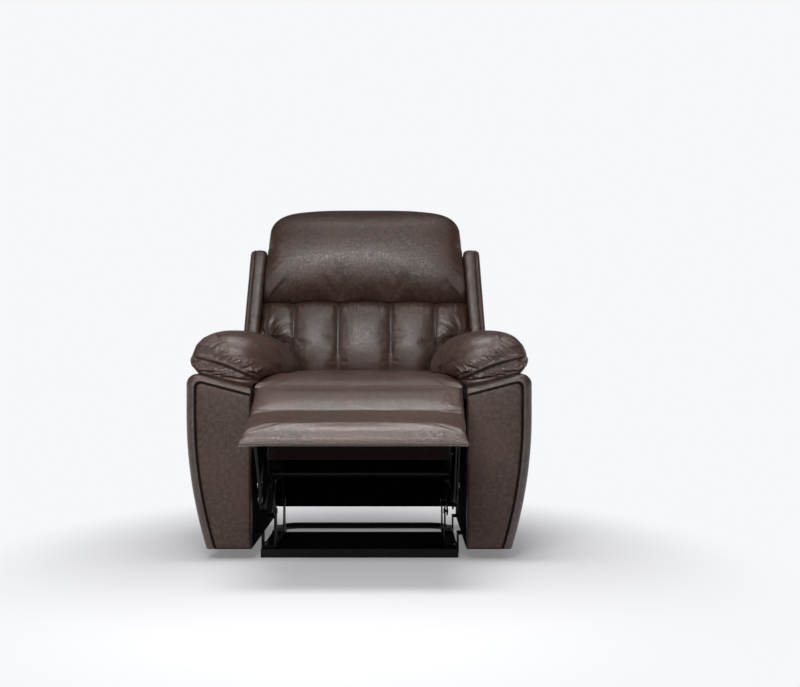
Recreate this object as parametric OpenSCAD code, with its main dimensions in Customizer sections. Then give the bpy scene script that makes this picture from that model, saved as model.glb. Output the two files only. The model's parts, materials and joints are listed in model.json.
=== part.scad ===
// Upholstered recliner with an opening footrest, millimetres.
// X runs across the chair, the front faces -Y and Z is up; the origin is on the floor.
// Depth is measured back from the arm fronts; "left" is the -X side.
// It is drawn with the back upright and the footrest open.

/* [Arms] */
// Width over both arms
chair_w = 960; // [920:10:1040]
// Clear width between the arms
gap_w = 596; // [592:2:620]
// Length of an arm, front to back
arm_len = 830; // [800:10:880]
// Height of the arm's outer top edge
arm_top = 516; // [500:2:530]
// Floor clearance under the arms
arm_clear = 30; // [15:1:60]
// How far the outer side tucks in at the bottom
arm_tuck = 56; // [30:2:80]
// Height at which the outer side is widest
arm_belly = 400; // [360:10:430]
// Fall of the arm top towards the seat, for each millimetre of width
arm_fall = 0.26; // [0.2:0.02:0.3]
// Radius of the arm's outer top edge
arm_edge_r = 30; // [20:2:40]
// Thickness of the padded arm cover
cover_t = 12; // [8:1:16]
// Inset of the front face panel from the arm's edge
face_inset = 27; // [20:1:36]
// Thickness of the front face panel
face_t = 8; // [5:1:11]
// Width of the welt beside the face panel
welt_w = 5; // [3:0.5:7]

/* [Arm pillows] */
// Height of a pillow's top above the floor
pillow_top = 637; // [620:1:650]
// Length of a pillow
pillow_len = 558; // [520:2:580]
// Where the inner tip of a pillow stands, from the middle of the chair
pillow_tip = 205; // [195:1:225]

/* [Seat] */
// Height of the seat's crown
seat_top = 514; // [508:1:516]
// Width of the seat cushion
seat_w = 580; // [560:2:586]
// Fall of the seat from its crown to its side edges
seat_crown = 16; // [12:1:22]
// Reach of the cushion's nose in front of the arms
nose_reach = 34; // [26:1:38]
// Depth of the seat cushion behind the arm fronts
seat_len = 543; // [500:1:545]
// Top of the seat rails
rail_top = 350; // [344:1:360]
// Height of the front and rear seat rails
rail_h = 55; // [40:1:60]

/* [Back] */
// Lean of the back from upright, in degrees
back_lean = 13; // [12:0.5:14]
// Length of the back above the seat line, along the lean
back_up = 553; // [540:1:565]
// Height of the seam between headrest and lumbar cushion, along the lean
seam_up = 227; // [205:1:250]
// Half width of the back cushions at that seam
back_half_w = 330; // [320:1:336]
// Depth of a sewn channel
channel_groove = 16; // [8:1:22]
// Width of a side wing
wing_t = 45; // [36:1:52]
// Thickness of the lumbar cushion
lumbar_t = 115; // [100:1:116]
// Forward swell of the headrest
head_swell = 24; // [12:1:32]

/* [Footrest] */
// Slope of the open footrest, in degrees
board_pitch = 5.5; // [4.5:0.5:6.5]
// Length of the footrest board
board_len = 262; // [240:1:266]
// Thickness of the footrest boards
board_t = 10; // [8:1:12]
// Thickness of the pads on the boards
pad_t = 39; // [32:1:42]
// Width of the footrest pad
pad_w = 572; // [556:2:584]
// Slope of the open calf flap, in degrees
flap_pitch = 20.5; // [19.5:0.5:21.5]
// Length of the calf flap, from its hinge
flap_len = 150; // [136:1:152]

/* [Mechanism] */
// Thickness of links and plates
link_t = 4; // [3:0.25:4.5]
// Gap between neighbouring links
link_gap = 1.5; // [1.4:0.1:2]
// Half width of a footrest link
link_r = 11; // [9:0.5:12]
// Radius of the rivets
rivet_r = 4; // [3:0.25:5]
// Radius of the rivet heads
head_r = 7; // [6:0.25:8]
// Inner face of the seat plates, from the middle of the chair
plate_x = 253; // [250:0.5:254]
// Length of the lift links between their pivots
lift_len = 90; // [80:1:94]
// Lean of the lift links at rest, in degrees
lift_lean = 20; // [16:1:22]

/* [Base] */
// Height of the base rails
base_rail_h = 20; // [15:1:26]
// Width of the base rails
base_rail_w = 30; // [24:1:34]
// Wall of the base rails
base_wall = 2; // [1.5:0.25:3]
// Height of the floor glides
glide_h = 3; // [2:0.5:8]
// Radius of the bent rear tube
tube_r = 10; // [8:0.5:12]

/* [Release handle] */
// Depth of the handle's place behind the arm front
lever_depth = 190; // [170:5:260]
// Height of the handle's place
lever_z = 330; // [300:5:360]
// Length of the recess
cup_len = 120; // [100:2:140]
// Height of the recess
cup_h = 74; // [64:2:84]

/* [Hidden] */
$fn = 48;

// Clearances
seat_gap = 0.4;       // between a soft piece and what carries it
pin_gap = 0.06;       // round a pin that turns in its hole
head_t = 1.2;         // a rivet head that lies in the gap between two links
free_head_t = 2.5;    // a rivet head on an open side

// Colours
leather = "#3b1f1a";
leather_light = "#54312a";
black_steel = "#1c1c1e";
zinc = "#8e9196";
plywood = "#a98a5f";
cloth = "#2a2a2c";

arm_out = chair_w / 2;
arm_in = gap_w / 2;
board_reach = 170;    // the board's rear edge, in front of the arm fronts
board_z = 380;        // and its height at mid thickness
pad_over = 14;        // the pad's roll in front of the board
back_depth = seat_len + 32; // the back cushion's front line at seat height
back_z = 515;
shell_y = 190;        // the back's rear face, behind that line
panel_top = back_up - 38;
back_far = back_depth + panel_top * sin(back_lean) + shell_y * cos(back_lean);
front_y = (board_reach + (board_len + pad_over) * cos(board_pitch) - back_far) / 2;

// A point from its depth behind the arm fronts and its height
function at(depth, z) = [front_y + depth, z];
// A signed power, for superellipses
function bow(v, p) = sign(v) * pow(abs(v), p);
function mean(list) = list * [for (i = list) 1] / len(list);
function centre(ring) = [for (k = [0:2]) mean([for (p = ring) p[k]])];

// Closed skin over a stack of rings that turn right-handed about the stacking direction
module skin(rings) {
    n = len(rings[0]);
    top = (len(rings) - 1) * n;
    points = concat([for (r = rings) each r], [centre(rings[0]), centre(rings[len(rings) - 1])]);
    walls = [for (i = [0:len(rings) - 2], j = [0:n - 1]) let (a = i * n + j, b = i * n + (j + 1) % n)
        each [[a, b + n, b], [a, a + n, b + n]]];
    ends = [for (j = [0:n - 1]) let (k = (j + 1) % n)
        each [[top + n, j, k], [top + n + 1, top + k, top + j]]];
    polyhedron(points, concat(walls, ends));
}

module both_sides() { for (s = [0, 1]) mirror([s, 0, 0]) children(); }
module one_side(right) { mirror([right ? 0 : 1, 0, 0]) children(); }
// A flat plate in a Y-Z plane, from x to x + t
module upright_plate(x, t) { translate([x, 0, 0]) rotate([90, 0, 90]) linear_extrude(t) children(); }
// A straight bar between two pivots, with round ends a little wider than the bar
bar_waist = 0.985;
module bar(p, q, r) {
    w = r * bar_waist;
    translate(p) circle(r);
    translate(q) circle(r);
    translate(p) rotate(atan2(q[1] - p[1], q[0] - p[0])) translate([0, -w]) square([norm(q - p), 2 * w]);
}
module dot(p, r) { translate(p) circle(r); }
// A round pin along X
module pin(p, r, x0, x1) { translate([x0, p[0], p[1]]) rotate([0, 90, 0]) cylinder(r = r, h = x1 - x0); }
// A rivet with a shank from x0 to x1, an inner head below x0 and an outer head above x1
module rivet(p, x0, x1, inner, outer) {
    pin(p, rivet_r, x0, x1);
    pin(p, head_r, x0 - inner, x0);
    if (outer > 0) pin(p, head_r, x1, x1 + outer);
}

// The layers of the mechanism, from the inside out
layer = link_t + link_gap;
upright_x = plate_x - 2 * layer - 2;
lift_x = plate_x - layer - 1;
link1_x = plate_x + layer;
link2_x = link1_x + layer;
link3_x = link2_x + layer;

// Footrest pivots in the open pose: on the seat plate, and where links meet
pivot_a = at(138, 229);
pivot_b = at(77, 290);
knee = at(17.5, 150);
foot_1 = at(-191, 358);
foot_2 = at(-245, 339.5);
cross_share = 0.3;
link_b_len = 205;
cross = knee + cross_share * (foot_1 - knee);
elbow = pivot_b + link_b_len * (cross - pivot_b) / norm(cross - pivot_b);

// Lift pivots: on the seat plates, and below them on the base
lift_top_z = 204.6;
lift_front = at(181, lift_top_z);
lift_rear = at(481, lift_top_z);
lift_drop = lift_len * [sin(lift_lean), cos(lift_lean)];
back_pivot = at(620, 350);

// Base rails
rail_x = 247;
rail_front = 70;
rail_len = 540;
rail_z = glide_h;
rail_top_z = rail_z + base_rail_h;

module base_rail() {
    color(black_steel) translate([rail_x, front_y + rail_front, rail_z]) difference() {
        cube([base_rail_w, rail_len, base_rail_h]);
        translate([base_wall, -1, base_wall])
            cube([base_rail_w - 2 * base_wall, rail_len + 2, base_rail_h - 2 * base_wall]);
    }
}
module base_rail_left() { one_side(false) base_rail(); }
module base_rail_right() { one_side(true) base_rail(); }

front_bar_d = 16;
module base_front_bar() {
    color(black_steel) translate([-rail_x - base_rail_w, front_y + rail_front - front_bar_d, 0])
        cube([2 * (rail_x + base_rail_w), front_bar_d, rail_top_z]);
}

// The rear tube joins the rails with a quarter bend at each end
bend_r = 60;
module base_rear_tube() {
    end_y = front_y + rail_front + rail_len;
    bend_x = rail_x + base_rail_w / 2 - bend_r;
    tube_z = rail_z + base_rail_h / 2;
    color(black_steel) union() {
        translate([-bend_x, end_y + bend_r, tube_z]) rotate([0, 90, 0])
            cylinder(r = tube_r, h = 2 * bend_x);
        both_sides() translate([bend_x, end_y, tube_z])
            rotate_extrude(angle = 90) translate([bend_r, 0]) circle(tube_r);
    }
}

pan_t = 2;
pan_len = 505;
module base_pan() {
    color(black_steel) translate([-rail_x, front_y + rail_front, rail_z])
        cube([2 * rail_x, pan_len, pan_t]);
}

// Uprights carry the lift links on the base rails
upright_r = 13;
upright_foot = 70;
foot_bolt_x = rail_x + base_rail_w - 9;
module base_upright() {
    color(black_steel) for (top = [lift_front, lift_rear]) {
        low = top - lift_drop;
        difference() {
            union() {
                upright_plate(upright_x, link_t) {
                    dot(low, upright_r);
                    polygon([[low[0] - upright_foot / 2, rail_top_z], [low[0] + upright_foot / 2, rail_top_z],
                        [low[0] + upright_r, low[1]], [low[0] - upright_r, low[1]]]);
                }
                translate([upright_x, low[0] - upright_foot / 2, rail_top_z])
                    cube([rail_x + base_rail_w - upright_x, upright_foot, link_t]);
            }
            pin(low, rivet_r + pin_gap, upright_x - 1, upright_x + link_t + 1);
            for (s = [-1, 1]) translate([foot_bolt_x, low[0] + s * upright_foot / 3, rail_top_z - 1])
                cylinder(r = bolt_r + pin_gap, h = link_t + 2);
        }
    }
}
module base_upright_left() { one_side(false) base_upright(); }
module base_upright_right() { one_side(true) base_upright(); }

glide_r = 14;
module floor_glides() {
    color(cloth) both_sides() for (d = [rail_front + 60, rail_front + rail_len / 2, rail_front + rail_len - 30])
        translate([rail_x + base_rail_w / 2, front_y + d, 0]) cylinder(r = glide_r, h = glide_h);
}

// Bolt heads on the uprights' feet and on the arm brackets
bolt_r = 3;
bolt_head_r = 6;
bolt_head_t = 4;
bracket_at = [150, 560];
bracket_len = 60;
bracket_t = 4;
bracket_low = 56;
bracket_high = 110;
module base_bolts() {
    color(zinc) both_sides() {
        for (top = [lift_front, lift_rear], s = [-1, 1])
            translate([foot_bolt_x, (top - lift_drop)[0] + s * upright_foot / 3, rail_top_z + link_t])
                union() {
                    cylinder(r = bolt_head_r, h = bolt_head_t);
                    translate([0, 0, -link_t]) cylinder(r = bolt_r, h = link_t + 1);
                }
        for (d = bracket_at, s = [-1, 1])
            translate([frame_x - bracket_t - bolt_head_t, front_y + d + s * bracket_len / 3,
                (bracket_low + bracket_high) / 2 + bracket_t])
                rotate([0, 90, 0]) union() {
                    cylinder(r = bolt_head_r, h = bolt_head_t);
                    cylinder(r = bolt_r, h = bolt_head_t + bracket_t);
                }
    }
}

// Z-shaped steel brackets carry the arm frames on the base rails
module arm_brackets() {
    inner = rail_x + base_rail_w;
    color(black_steel) both_sides() for (d = bracket_at) difference() {
        translate([0, front_y + d - bracket_len / 2, 0]) union() {
            translate([inner, 0, rail_z]) cube([bracket_t, bracket_len, bracket_low + bracket_t - rail_z]);
            translate([inner, 0, bracket_low]) cube([frame_x - inner, bracket_len, bracket_t]);
            translate([frame_x - bracket_t, 0, bracket_low])
                cube([bracket_t, bracket_len, bracket_high - bracket_low]);
        }
        for (s = [-1, 1])
            translate([frame_x - bracket_t - 1, front_y + d + s * bracket_len / 3,
                (bracket_low + bracket_high) / 2 + bracket_t])
                rotate([0, 90, 0]) cylinder(r = bolt_r + pin_gap, h = bracket_t + 2);
    }
}

// Front view of an arm: an outer side that tucks in below its belly, a rounded top edge and a
// top that falls towards the seat. The inset moves the outer side and the top inwards, the edge
// moves the inner side and the bottom.
function arm_side_x(z) = arm_out - arm_tuck * pow(max(arm_belly - z, 0) / (arm_belly - arm_clear), 2);
edge_steps = 6;
side_steps = 11;
function arm_outline(inset, edge) = let (
        r = max(arm_edge_r - inset, 4),
        cx = arm_out - inset - r,
        cz = arm_top - inset - r,
        low = arm_clear + edge,
        tilt = atan(arm_fall)
    ) concat(
        [[arm_in + edge, low]],
        [for (i = [0:side_steps]) let (z = low + i * (arm_belly - low) / side_steps) [arm_side_x(z) - inset, z]],
        [for (i = [0:edge_steps]) let (a = i * (90 + tilt) / edge_steps) [cx + r * cos(a), cz + r * sin(a)]],
        [[arm_in + edge, cz + r / cos(tilt) - (cx - arm_in - edge) * arm_fall]]
    );
// The height of the arm's top surface over a place across the chair
function arm_top_at(x) = arm_top - arm_edge_r + arm_edge_r / cos(atan(arm_fall))
    - max(arm_out - arm_edge_r - x, 0) * arm_fall;
module arm_slab(inset, edge, depth, t) {
    translate([0, front_y + depth + t, 0]) rotate([90, 0, 0]) linear_extrude(t)
        polygon(arm_outline(inset, edge));
}

// Side view of an arm: level under the pillow, then falling to a rounded rear corner
fall_from = 575;
fall_to = 450;
rear_r = 32;
module arm_side_view(inset) {
    rear = arm_len - inset;
    upright_plate(arm_in - 1, arm_out - arm_in + 2) {
        translate([front_y, -1]) square([fall_from, arm_top + 2]);
        polygon([at(fall_from - 1, -1), at(rear, -1), at(rear, fall_to - rear_r - inset),
            at(rear - rear_r, fall_to - inset), at(fall_from - 1, arm_top - inset)]);
        dot(at(rear - rear_r, fall_to - rear_r - inset), rear_r);
    }
}
cup_x = arm_side_x(lever_z);
cup_tilt = atan(2 * arm_tuck * max(arm_belly - lever_z, 0) / pow(arm_belly - arm_clear, 2));
module at_cup() { translate([-cup_x, front_y + lever_depth, lever_z]) rotate([0, -cup_tilt, 0]) children(); }

module arm_shell(right) {
    color(leather) difference() {
        one_side(right) difference() {
            intersection() {
                arm_slab(0, 0, 0, arm_len);
                arm_side_view(0);
            }
            intersection() {
                translate([0, front_y + arm_len - cover_t, 0]) rotate([90, 0, 0])
                    linear_extrude(arm_len - 2 * cover_t) union() {
                        polygon(arm_outline(cover_t, cover_t));
                        translate([arm_in + cover_t, 0])
                            square([arm_side_x(arm_clear) - arm_in - 2 * cover_t, 2 * arm_clear + cover_t]);
                    }
                arm_side_view(cover_t);
            }
            for (d = bracket_at) translate([arm_in - 1, front_y + d - bracket_len / 2 - 4, arm_clear - 1])
                cube([cover_t + 2, bracket_len + 8, bracket_high + 6 - arm_clear]);
            arm_slab(face_inset - welt_w - seat_gap, face_edge - seat_gap, -1, face_t + 1 + seat_gap);
        }
        if (!right) at_cup() translate([-cover_t, -cup_len / 2 - seat_gap, -cup_h / 2 - seat_gap])
            cube([3 * cover_t, cup_len + 2 * seat_gap, cup_h + 2 * seat_gap]);
    }
}
module arm_shell_left() { arm_shell(false); }
module arm_shell_right() { arm_shell(true); }

// Inset padded panel in the arm's front, and the welt along its top and outer side
face_edge = 3;
module arm_face(right) { color(leather_light) one_side(right) arm_slab(face_inset, face_edge, 0, face_t); }
module arm_face_left() { arm_face(false); }
module arm_face_right() { arm_face(true); }
module arm_welt(right) {
    color(leather) one_side(right) difference() {
        arm_slab(face_inset - welt_w, face_edge, -2, face_t + 2);
        arm_slab(face_inset, face_edge, -3, face_t + 4);
    }
}
module arm_welt_left() { arm_welt(false); }
module arm_welt_right() { arm_welt(true); }

// Timber frame inside an arm: a board along the inner side and three cross formers
frame_x = arm_in + cover_t + 0.2;
frame_board_t = 15;
former_t = 18;
module arm_frame(right) {
    first = cover_t + 0.2;
    last = arm_len - cover_t - 0.2 - former_t;
    color(plywood) one_side(right) {
        intersection() {
            translate([frame_x, front_y + first, arm_clear + cover_t])
                cube([frame_board_t, last + former_t - first, arm_top]);
            arm_slab(cover_t + 0.2, cover_t + 0.2, first, last + former_t - first);
            arm_side_view(cover_t + 0.2);
        }
        for (d = [first, (first + last) / 2, last]) intersection() {
            arm_slab(cover_t + 0.2, cover_t + 0.2, d, former_t);
            translate([frame_x + frame_board_t, front_y + d - 1, arm_clear])
                cube([arm_out, former_t + 2, arm_top]);
            arm_side_view(cover_t + 0.2);
        }
    }
}
module arm_frame_left() { arm_frame(false); }
module arm_frame_right() { arm_frame(true); }

// An arm pillow: a lopsided crown over the arm whose thin inner edge hangs over the seat side
pillow_front = 12;
pillow_high_x = arm_out - 112;
pillow_side_z = arm_top + 55;
tip_z = seat_top + 1;
pillow_arc = 6;
function pillow_end(s) = pow(max(1 - pow(abs(2 * s - 1), 7), 0), 0.5);
function pillow_ring(s) = let (
        k = 0.4 + 0.6 * pillow_end(s),
        y = front_y + pillow_front + s * pillow_len,
        tip = pillow_high_x - (pillow_high_x - pillow_tip) * (0.72 + 0.28 * k),
        out = (arm_out - 3 - pillow_high_x) * (0.85 + 0.15 * k),
        foot = arm_top + 5,
        rise = (pillow_top - pillow_side_z) * k,
        side = foot + (pillow_side_z - foot) * k,
        over = arm_top_at(arm_in) + seat_gap,
        lip = tip_z + 3
    ) concat(
        [[pillow_high_x + out - 15, y, foot], [pillow_high_x + out - 5, y, (foot + side) / 2]],
        [for (i = [0:pillow_arc]) let (a = 90 * i / pillow_arc)
            [pillow_high_x + out * cos(a), y, side + rise * sin(a)]],
        [for (i = [1:pillow_arc]) let (a = 90 * i / pillow_arc)
            [pillow_high_x - (pillow_high_x - tip) * sin(a), y, lip + (side + rise - lip) * cos(a)]],
        [[tip + 4, y, tip_z], [arm_in - 8, y, tip_z - 6],
            [arm_in + 1, y, over], [arm_out - arm_edge_r, y, arm_top_at(arm_out - arm_edge_r) + seat_gap]]
    );
pillow_rings = 16;
module arm_pillow(right) {
    color(leather_light) one_side(right) skin([for (i = [0:pillow_rings])
        let (s = (1 - cos(180 * i / pillow_rings)) / 2, ring = pillow_ring(s)) [for (j = [len(ring) - 1:-1:0]) ring[j]]]);
}
module arm_pillow_left() { arm_pillow(false); }
module arm_pillow_right() { arm_pillow(true); }

// Stiff panel low between the rear ends of the arms
rear_panel_t = 20;
rear_panel_d = 805;
rear_panel_low = 59;
rear_panel_high = 345;
module rear_panel() {
    w = arm_in - 0.3;
    color(leather) translate([-w, front_y + rear_panel_d, rear_panel_low])
        cube([2 * w, rear_panel_t, rear_panel_high - rear_panel_low]);
}

// Release handle: a recess in the left arm's outer side with a paddle hinged along its top
cup_wall = 2;
cup_depth = 30;
cup_lip = 8;
cup_lip_t = 2;
lever_pin_r = 3;
lever_drop = 14;
module release_bezel() {
    color("#202022") at_cup() difference() {
        union() {
            translate([-cup_lip_t - 0.9, -cup_len / 2 - cup_lip, -cup_h / 2 - cup_lip])
                cube([cup_lip_t, cup_len + 2 * cup_lip, cup_h + 2 * cup_lip]);
            translate([-1.5, -cup_len / 2, -cup_h / 2]) cube([cup_depth, cup_len, cup_h]);
        }
        translate([-cup_depth, -cup_len / 2 + cup_wall, -cup_h / 2 + cup_wall])
            cube([2 * cup_depth - cup_wall - 1.5, cup_len - 2 * cup_wall, cup_h - 2 * cup_wall]);
        translate([cup_depth / 3, -cup_len / 2 - 1, cup_h / 2 - lever_drop]) rotate([-90, 0, 0])
            cylinder(r = lever_pin_r + pin_gap, h = cup_len + 2);
    }
}
module release_lever() {
    inside = cup_len - 2 * cup_wall - 2;
    color("#202022") at_cup() translate([cup_depth / 3, 0, cup_h / 2 - lever_drop]) union() {
        translate([0, -cup_len / 2, 0]) rotate([-90, 0, 0]) cylinder(r = lever_pin_r, h = cup_len);
        translate([0, -inside / 2, 0]) rotate([-90, 0, 0]) cylinder(r = 6, h = inside);
        translate([-6, -inside / 2, -cup_h / 2]) cube([6, inside, cup_h / 2]);
        translate([-6, -inside / 2, -cup_h / 2]) rotate([-90, 0, 0]) cylinder(r = 4, h = inside);
    }
}

// Lift links carry the seat plates and swing forward as the back reclines
lift_r = 13;
module lift_links(top) {
    low = top - lift_drop;
    color(black_steel) both_sides() upright_plate(lift_x, link_t) difference() {
        bar(low, top, lift_r);
        dot(low, rivet_r + pin_gap);
        dot(top, rivet_r + pin_gap);
    }
}
module lift_links_front() { lift_links(lift_front); }
module lift_links_rear() { lift_links(lift_rear); }
module lift_rivets() {
    color(zinc) both_sides() for (top = [lift_front, lift_rear])
        rivet(top - lift_drop, upright_x, lift_x + link_t, free_head_t, head_t);
}

// Seat plates: one each side, with a rear ear for the back's hinge
ear_r = 24;
plate_top = rail_top - 30;
module seat_plate() {
    color(black_steel) upright_plate(plate_x, link_t) difference() {
        union() {
            polygon([at(36, plate_top), at(36, 272), at(104, 200), at(140, lift_top_z - 19),
                at(500, lift_top_z - 19), at(580, 240), back_pivot + [ear_r, 0], back_pivot - [ear_r, 0],
                at(560, plate_top)]);
            dot(back_pivot, ear_r);
        }
        dot(pivot_a, drive_r + pin_gap);
        for (p = [pivot_b, lift_front, lift_rear, back_pivot]) dot(p, rivet_r + pin_gap);
    }
}
module seat_plate_left() { one_side(false) seat_plate(); }
module seat_plate_right() { one_side(true) seat_plate(); }

seat_rail_d = 30;
rear_rail_at = 515;
front_rail_at = 8;
module seat_rails() {
    color(plywood) for (d = [front_rail_at, rear_rail_at])
        translate([-plate_x, front_y + d, rail_top - rail_h]) cube([2 * plate_x, seat_rail_d, rail_h]);
}
side_rail_w = 32;
module seat_side_rails() {
    color(plywood) both_sides() translate([plate_x, front_y + front_rail_at, plate_top])
        cube([side_rail_w, rear_rail_at + seat_rail_d - front_rail_at, rail_top - plate_top]);
}
cross_tube_r = 12;
cross_tube_at = round(seat_len * 2 / 3) - 2;
cross_tube_z = rail_top - 88;
module seat_cross_tube() {
    color(black_steel) translate([-plate_x, front_y + cross_tube_at, cross_tube_z]) rotate([0, 90, 0])
        cylinder(r = cross_tube_r, h = 2 * plate_x);
}

// Sinuous springs from rail to rail under the cushion
spring_r = 2;
spring_bend = 18;
spring_count = 4;
spring_swing = 22;
module seat_springs() {
    start = front_rail_at + 10;
    turns = floor((rear_rail_at + seat_rail_d - 10 - start) / (2 * spring_bend));
    color(zinc) for (k = [0:spring_count - 1])
        translate([(k - (spring_count - 1) / 2) * 120, front_y + start, rail_top + spring_r]) union() {
            for (i = [0:turns - 1]) let (s = i % 2 == 0 ? 1 : -1) {
                translate([s * spring_swing, spring_bend * (2 * i + 1), 0]) rotate([0, 0, s > 0 ? -90 : 90])
                    rotate_extrude(angle = 180, $fn = 24) translate([spring_bend, 0]) circle(spring_r, $fn = 13);
                translate([-spring_swing, spring_bend * 2 * i, 0]) rotate([0, 90, 0])
                    cylinder(r = spring_r, h = 2 * spring_swing, $fn = 13);
            }
        }
}

// Leather-covered board under the front of the seat
cover_low = 278;
module seat_front_cover() {
    color(leather) translate([-plate_x + 3, front_y - 5, cover_low])
        cube([2 * plate_x - 6, front_rail_at + 5, rail_top - cover_low]);
}

module seat_rivets() {
    color(zinc) both_sides() {
        rivet(pivot_b, plate_x, link2_x + link_t, free_head_t, head_t);
        for (p = [lift_front, lift_rear]) rivet(p, lift_x, plate_x + link_t, head_t, head_t);
        rivet(back_pivot, plate_x, link1_x + link_t, free_head_t, free_head_t);
    }
}

// Seat cushion: crowned, with drawn-in ends and a nose that rolls over the calf flap
seat_bottom = rail_top + 2 * spring_r + seat_gap;
nose_z = seat_top - 20;
nose_under = 480;
face_reach = 5;
roll = nose_reach + 20;
seat_points = 28;
function seat_ring(reach, low, high, half) = let (mid = (low + high) / 2) [for (i = [0:seat_points - 1])
    let (
        a = 360 * i / seat_points,
        x = half * bow(sin(a), 0.42),
        v = bow(cos(a), 0.42),
        drop = seat_crown * pow(x / half, 6) * min((high - low) / 60, 1)
    ) [x, front_y - reach, mid + v * (v > 0 ? high - mid - drop : mid - low)]];
function roll_top(reach) = nose_z + (seat_top - nose_z) * sqrt(max(1 - pow((reach + 20) / roll, 2), 0));
function roll_low(reach) = nose_z
    - (nose_z - nose_under) * sqrt(max(1 - pow((reach - face_reach) / (nose_reach - face_reach), 2), 0));
nose_in = 12;
module seat_cushion() {
    half = seat_w / 2;
    nose = [for (k = [0.03, 0.2, 0.5, 0.8, 1]) face_reach + 0.5 + (nose_reach - face_reach - 0.5) * cos(90 * k)];
    body = [for (k = [0:8]) face_reach - k * k * (seat_len + face_reach - 24) / 64];
    rear = [seat_len - 12, seat_len - 4, seat_len];
    color(leather) skin(concat(
        [for (u = nose) seat_ring(u, min(roll_low(u), roll_top(u) - 2), roll_top(u),
            half - nose_in - nose_in * pow(u / nose_reach, 3))],
        [for (u = body) seat_ring(u, seat_bottom, u > -20 ? roll_top(u) : seat_top,
            half - 3 * pow(abs(2 * (u + seat_len / 2) / seat_len), 4))],
        [for (k = [0:2]) seat_ring(-rear[k], seat_bottom + [0, 4, 14][k], seat_top - [4, 10, 22][k], half - [4, 7, 14][k])]
    ));
}

// The back is drawn in its own frame: Y' behind the cushion's front line, Z' up along the lean
module in_back() { translate([0, front_y + back_depth, back_z]) rotate([-back_lean, 0, 0]) children(); }
function to_back(p) = let (d = p - at(back_depth, back_z))
    [d[0] * cos(back_lean) - d[1] * sin(back_lean), d[0] * sin(back_lean) + d[1] * cos(back_lean)];
side_lean = 0.0763;
wide_from = 115;
narrow_half = 285;
frame_y = lumbar_t + 2;
upright_d = 46;
back_foot = -118;
cushion_foot = -85;
panel_t = shell_y - frame_y - upright_d;
function cushion_half(z) = z > wide_from ? back_half_w - side_lean * (z - seam_up)
    : narrow_half + (back_half_w + side_lean * (seam_up - wide_from) - narrow_half)
        * pow(max((z - wide_from + 34) / 34, 0), 2);

// Lumbar cushion: five sewn channels, drawn in at the seam with the headrest
inner_channel = 84;
outer_channel = 228.5;
channel_steps = 8;
function channel_x(half) = let (o = outer_channel - 0.7 * (back_half_w - half))
    [-half, -o, -inner_channel, inner_channel, o, half];
function lumbar_ring(z) = let (
        half = cushion_half(z),
        c = channel_x(half),
        up = (z - cushion_foot) / (seam_up - 1 - cushion_foot),
        draw = 34 * pow(up, 14) + 30 * pow(1 - up, 12)
    ) concat(
        [for (k = [0:4], i = [0:channel_steps - 1]) let (
                t = i / channel_steps,
                x = c[k] + t * (c[k + 1] - c[k])
            ) [x, draw + channel_groove * pow(abs(2 * t - 1), 2.2) + 26 * pow(abs(x) / half, 8), z]],
        [[half, draw + channel_groove + 26, z], [half - 1, lumbar_t - 14, z], [half - 8, lumbar_t - 3, z],
            [half / 2, lumbar_t, z], [-half / 2, lumbar_t, z], [8 - half, lumbar_t - 3, z], [1 - half, lumbar_t - 14, z]]
    );
module lumbar_cushion() {
    top = seam_up - 1;
    levels = [cushion_foot, -60, -20, 40, 85, 96, 106, wide_from, 150, top - 40, top - 20, top - 8, top];
    color(leather) in_back() skin([for (z = levels) lumbar_ring(z)]);
}

// Headrest: a deep swell above the seam, rounded shoulders, and a top that folds over the frame
head_points = 36;
shoulder_w = 112;
shoulder_h = 82;
function head_half(z) = cushion_half(z)
    - shoulder_w * (1 - sqrt(max(1 - pow(max(z - (back_up - shoulder_h), 0) / shoulder_h, 2), 0)));
function head_front(z) = let (s = (z - seam_up) / (back_up - seam_up))
    30 * pow(1 - s, 10) - head_swell * sin(180 * pow(s, 0.8)) + 62 * pow(s, 7);
function head_ring(z, rear) = let (half = head_half(z), front = head_front(z), mid = (front + rear) / 2)
    [for (i = [0:head_points - 1]) let (
            a = 360 * i / head_points,
            x = half * bow(cos(a), 0.5),
            v = bow(sin(a), 0.5),
            scallop = z < seam_up + 60 && v < 0 ? 5 * (1 - (z - seam_up) / 60) * pow(abs(cos(540 * x / (2 * half))), 2) : 0
        ) [x, mid + v * (rear - front) / 2 + scallop, z]];
module headrest_cushion() {
    over_frame = wing_top + 2;
    over_panel = panel_top + 1.5;
    lower = [for (z = [seam_up + 1, seam_up + 5, seam_up + 15, seam_up + 35, seam_up + 75, seam_up + 120,
        over_frame - 20, over_frame - 0.3]) head_ring(z, lumbar_t)];
    middle = [for (k = [0, 0.25, 0.5, 0.75, 1]) head_ring(over_frame + k * (over_panel - 0.3 - over_frame),
        shell_y - panel_t - 0.5)];
    upper = [for (k = [0, 0.35, 0.65, 0.85, 0.97, 0.998]) head_ring(over_panel + k * (back_up - over_panel),
        shell_y - 3 - 46 * pow(k, 5))];
    color(leather) in_back() skin(concat(lower, middle, upper));
}

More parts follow.
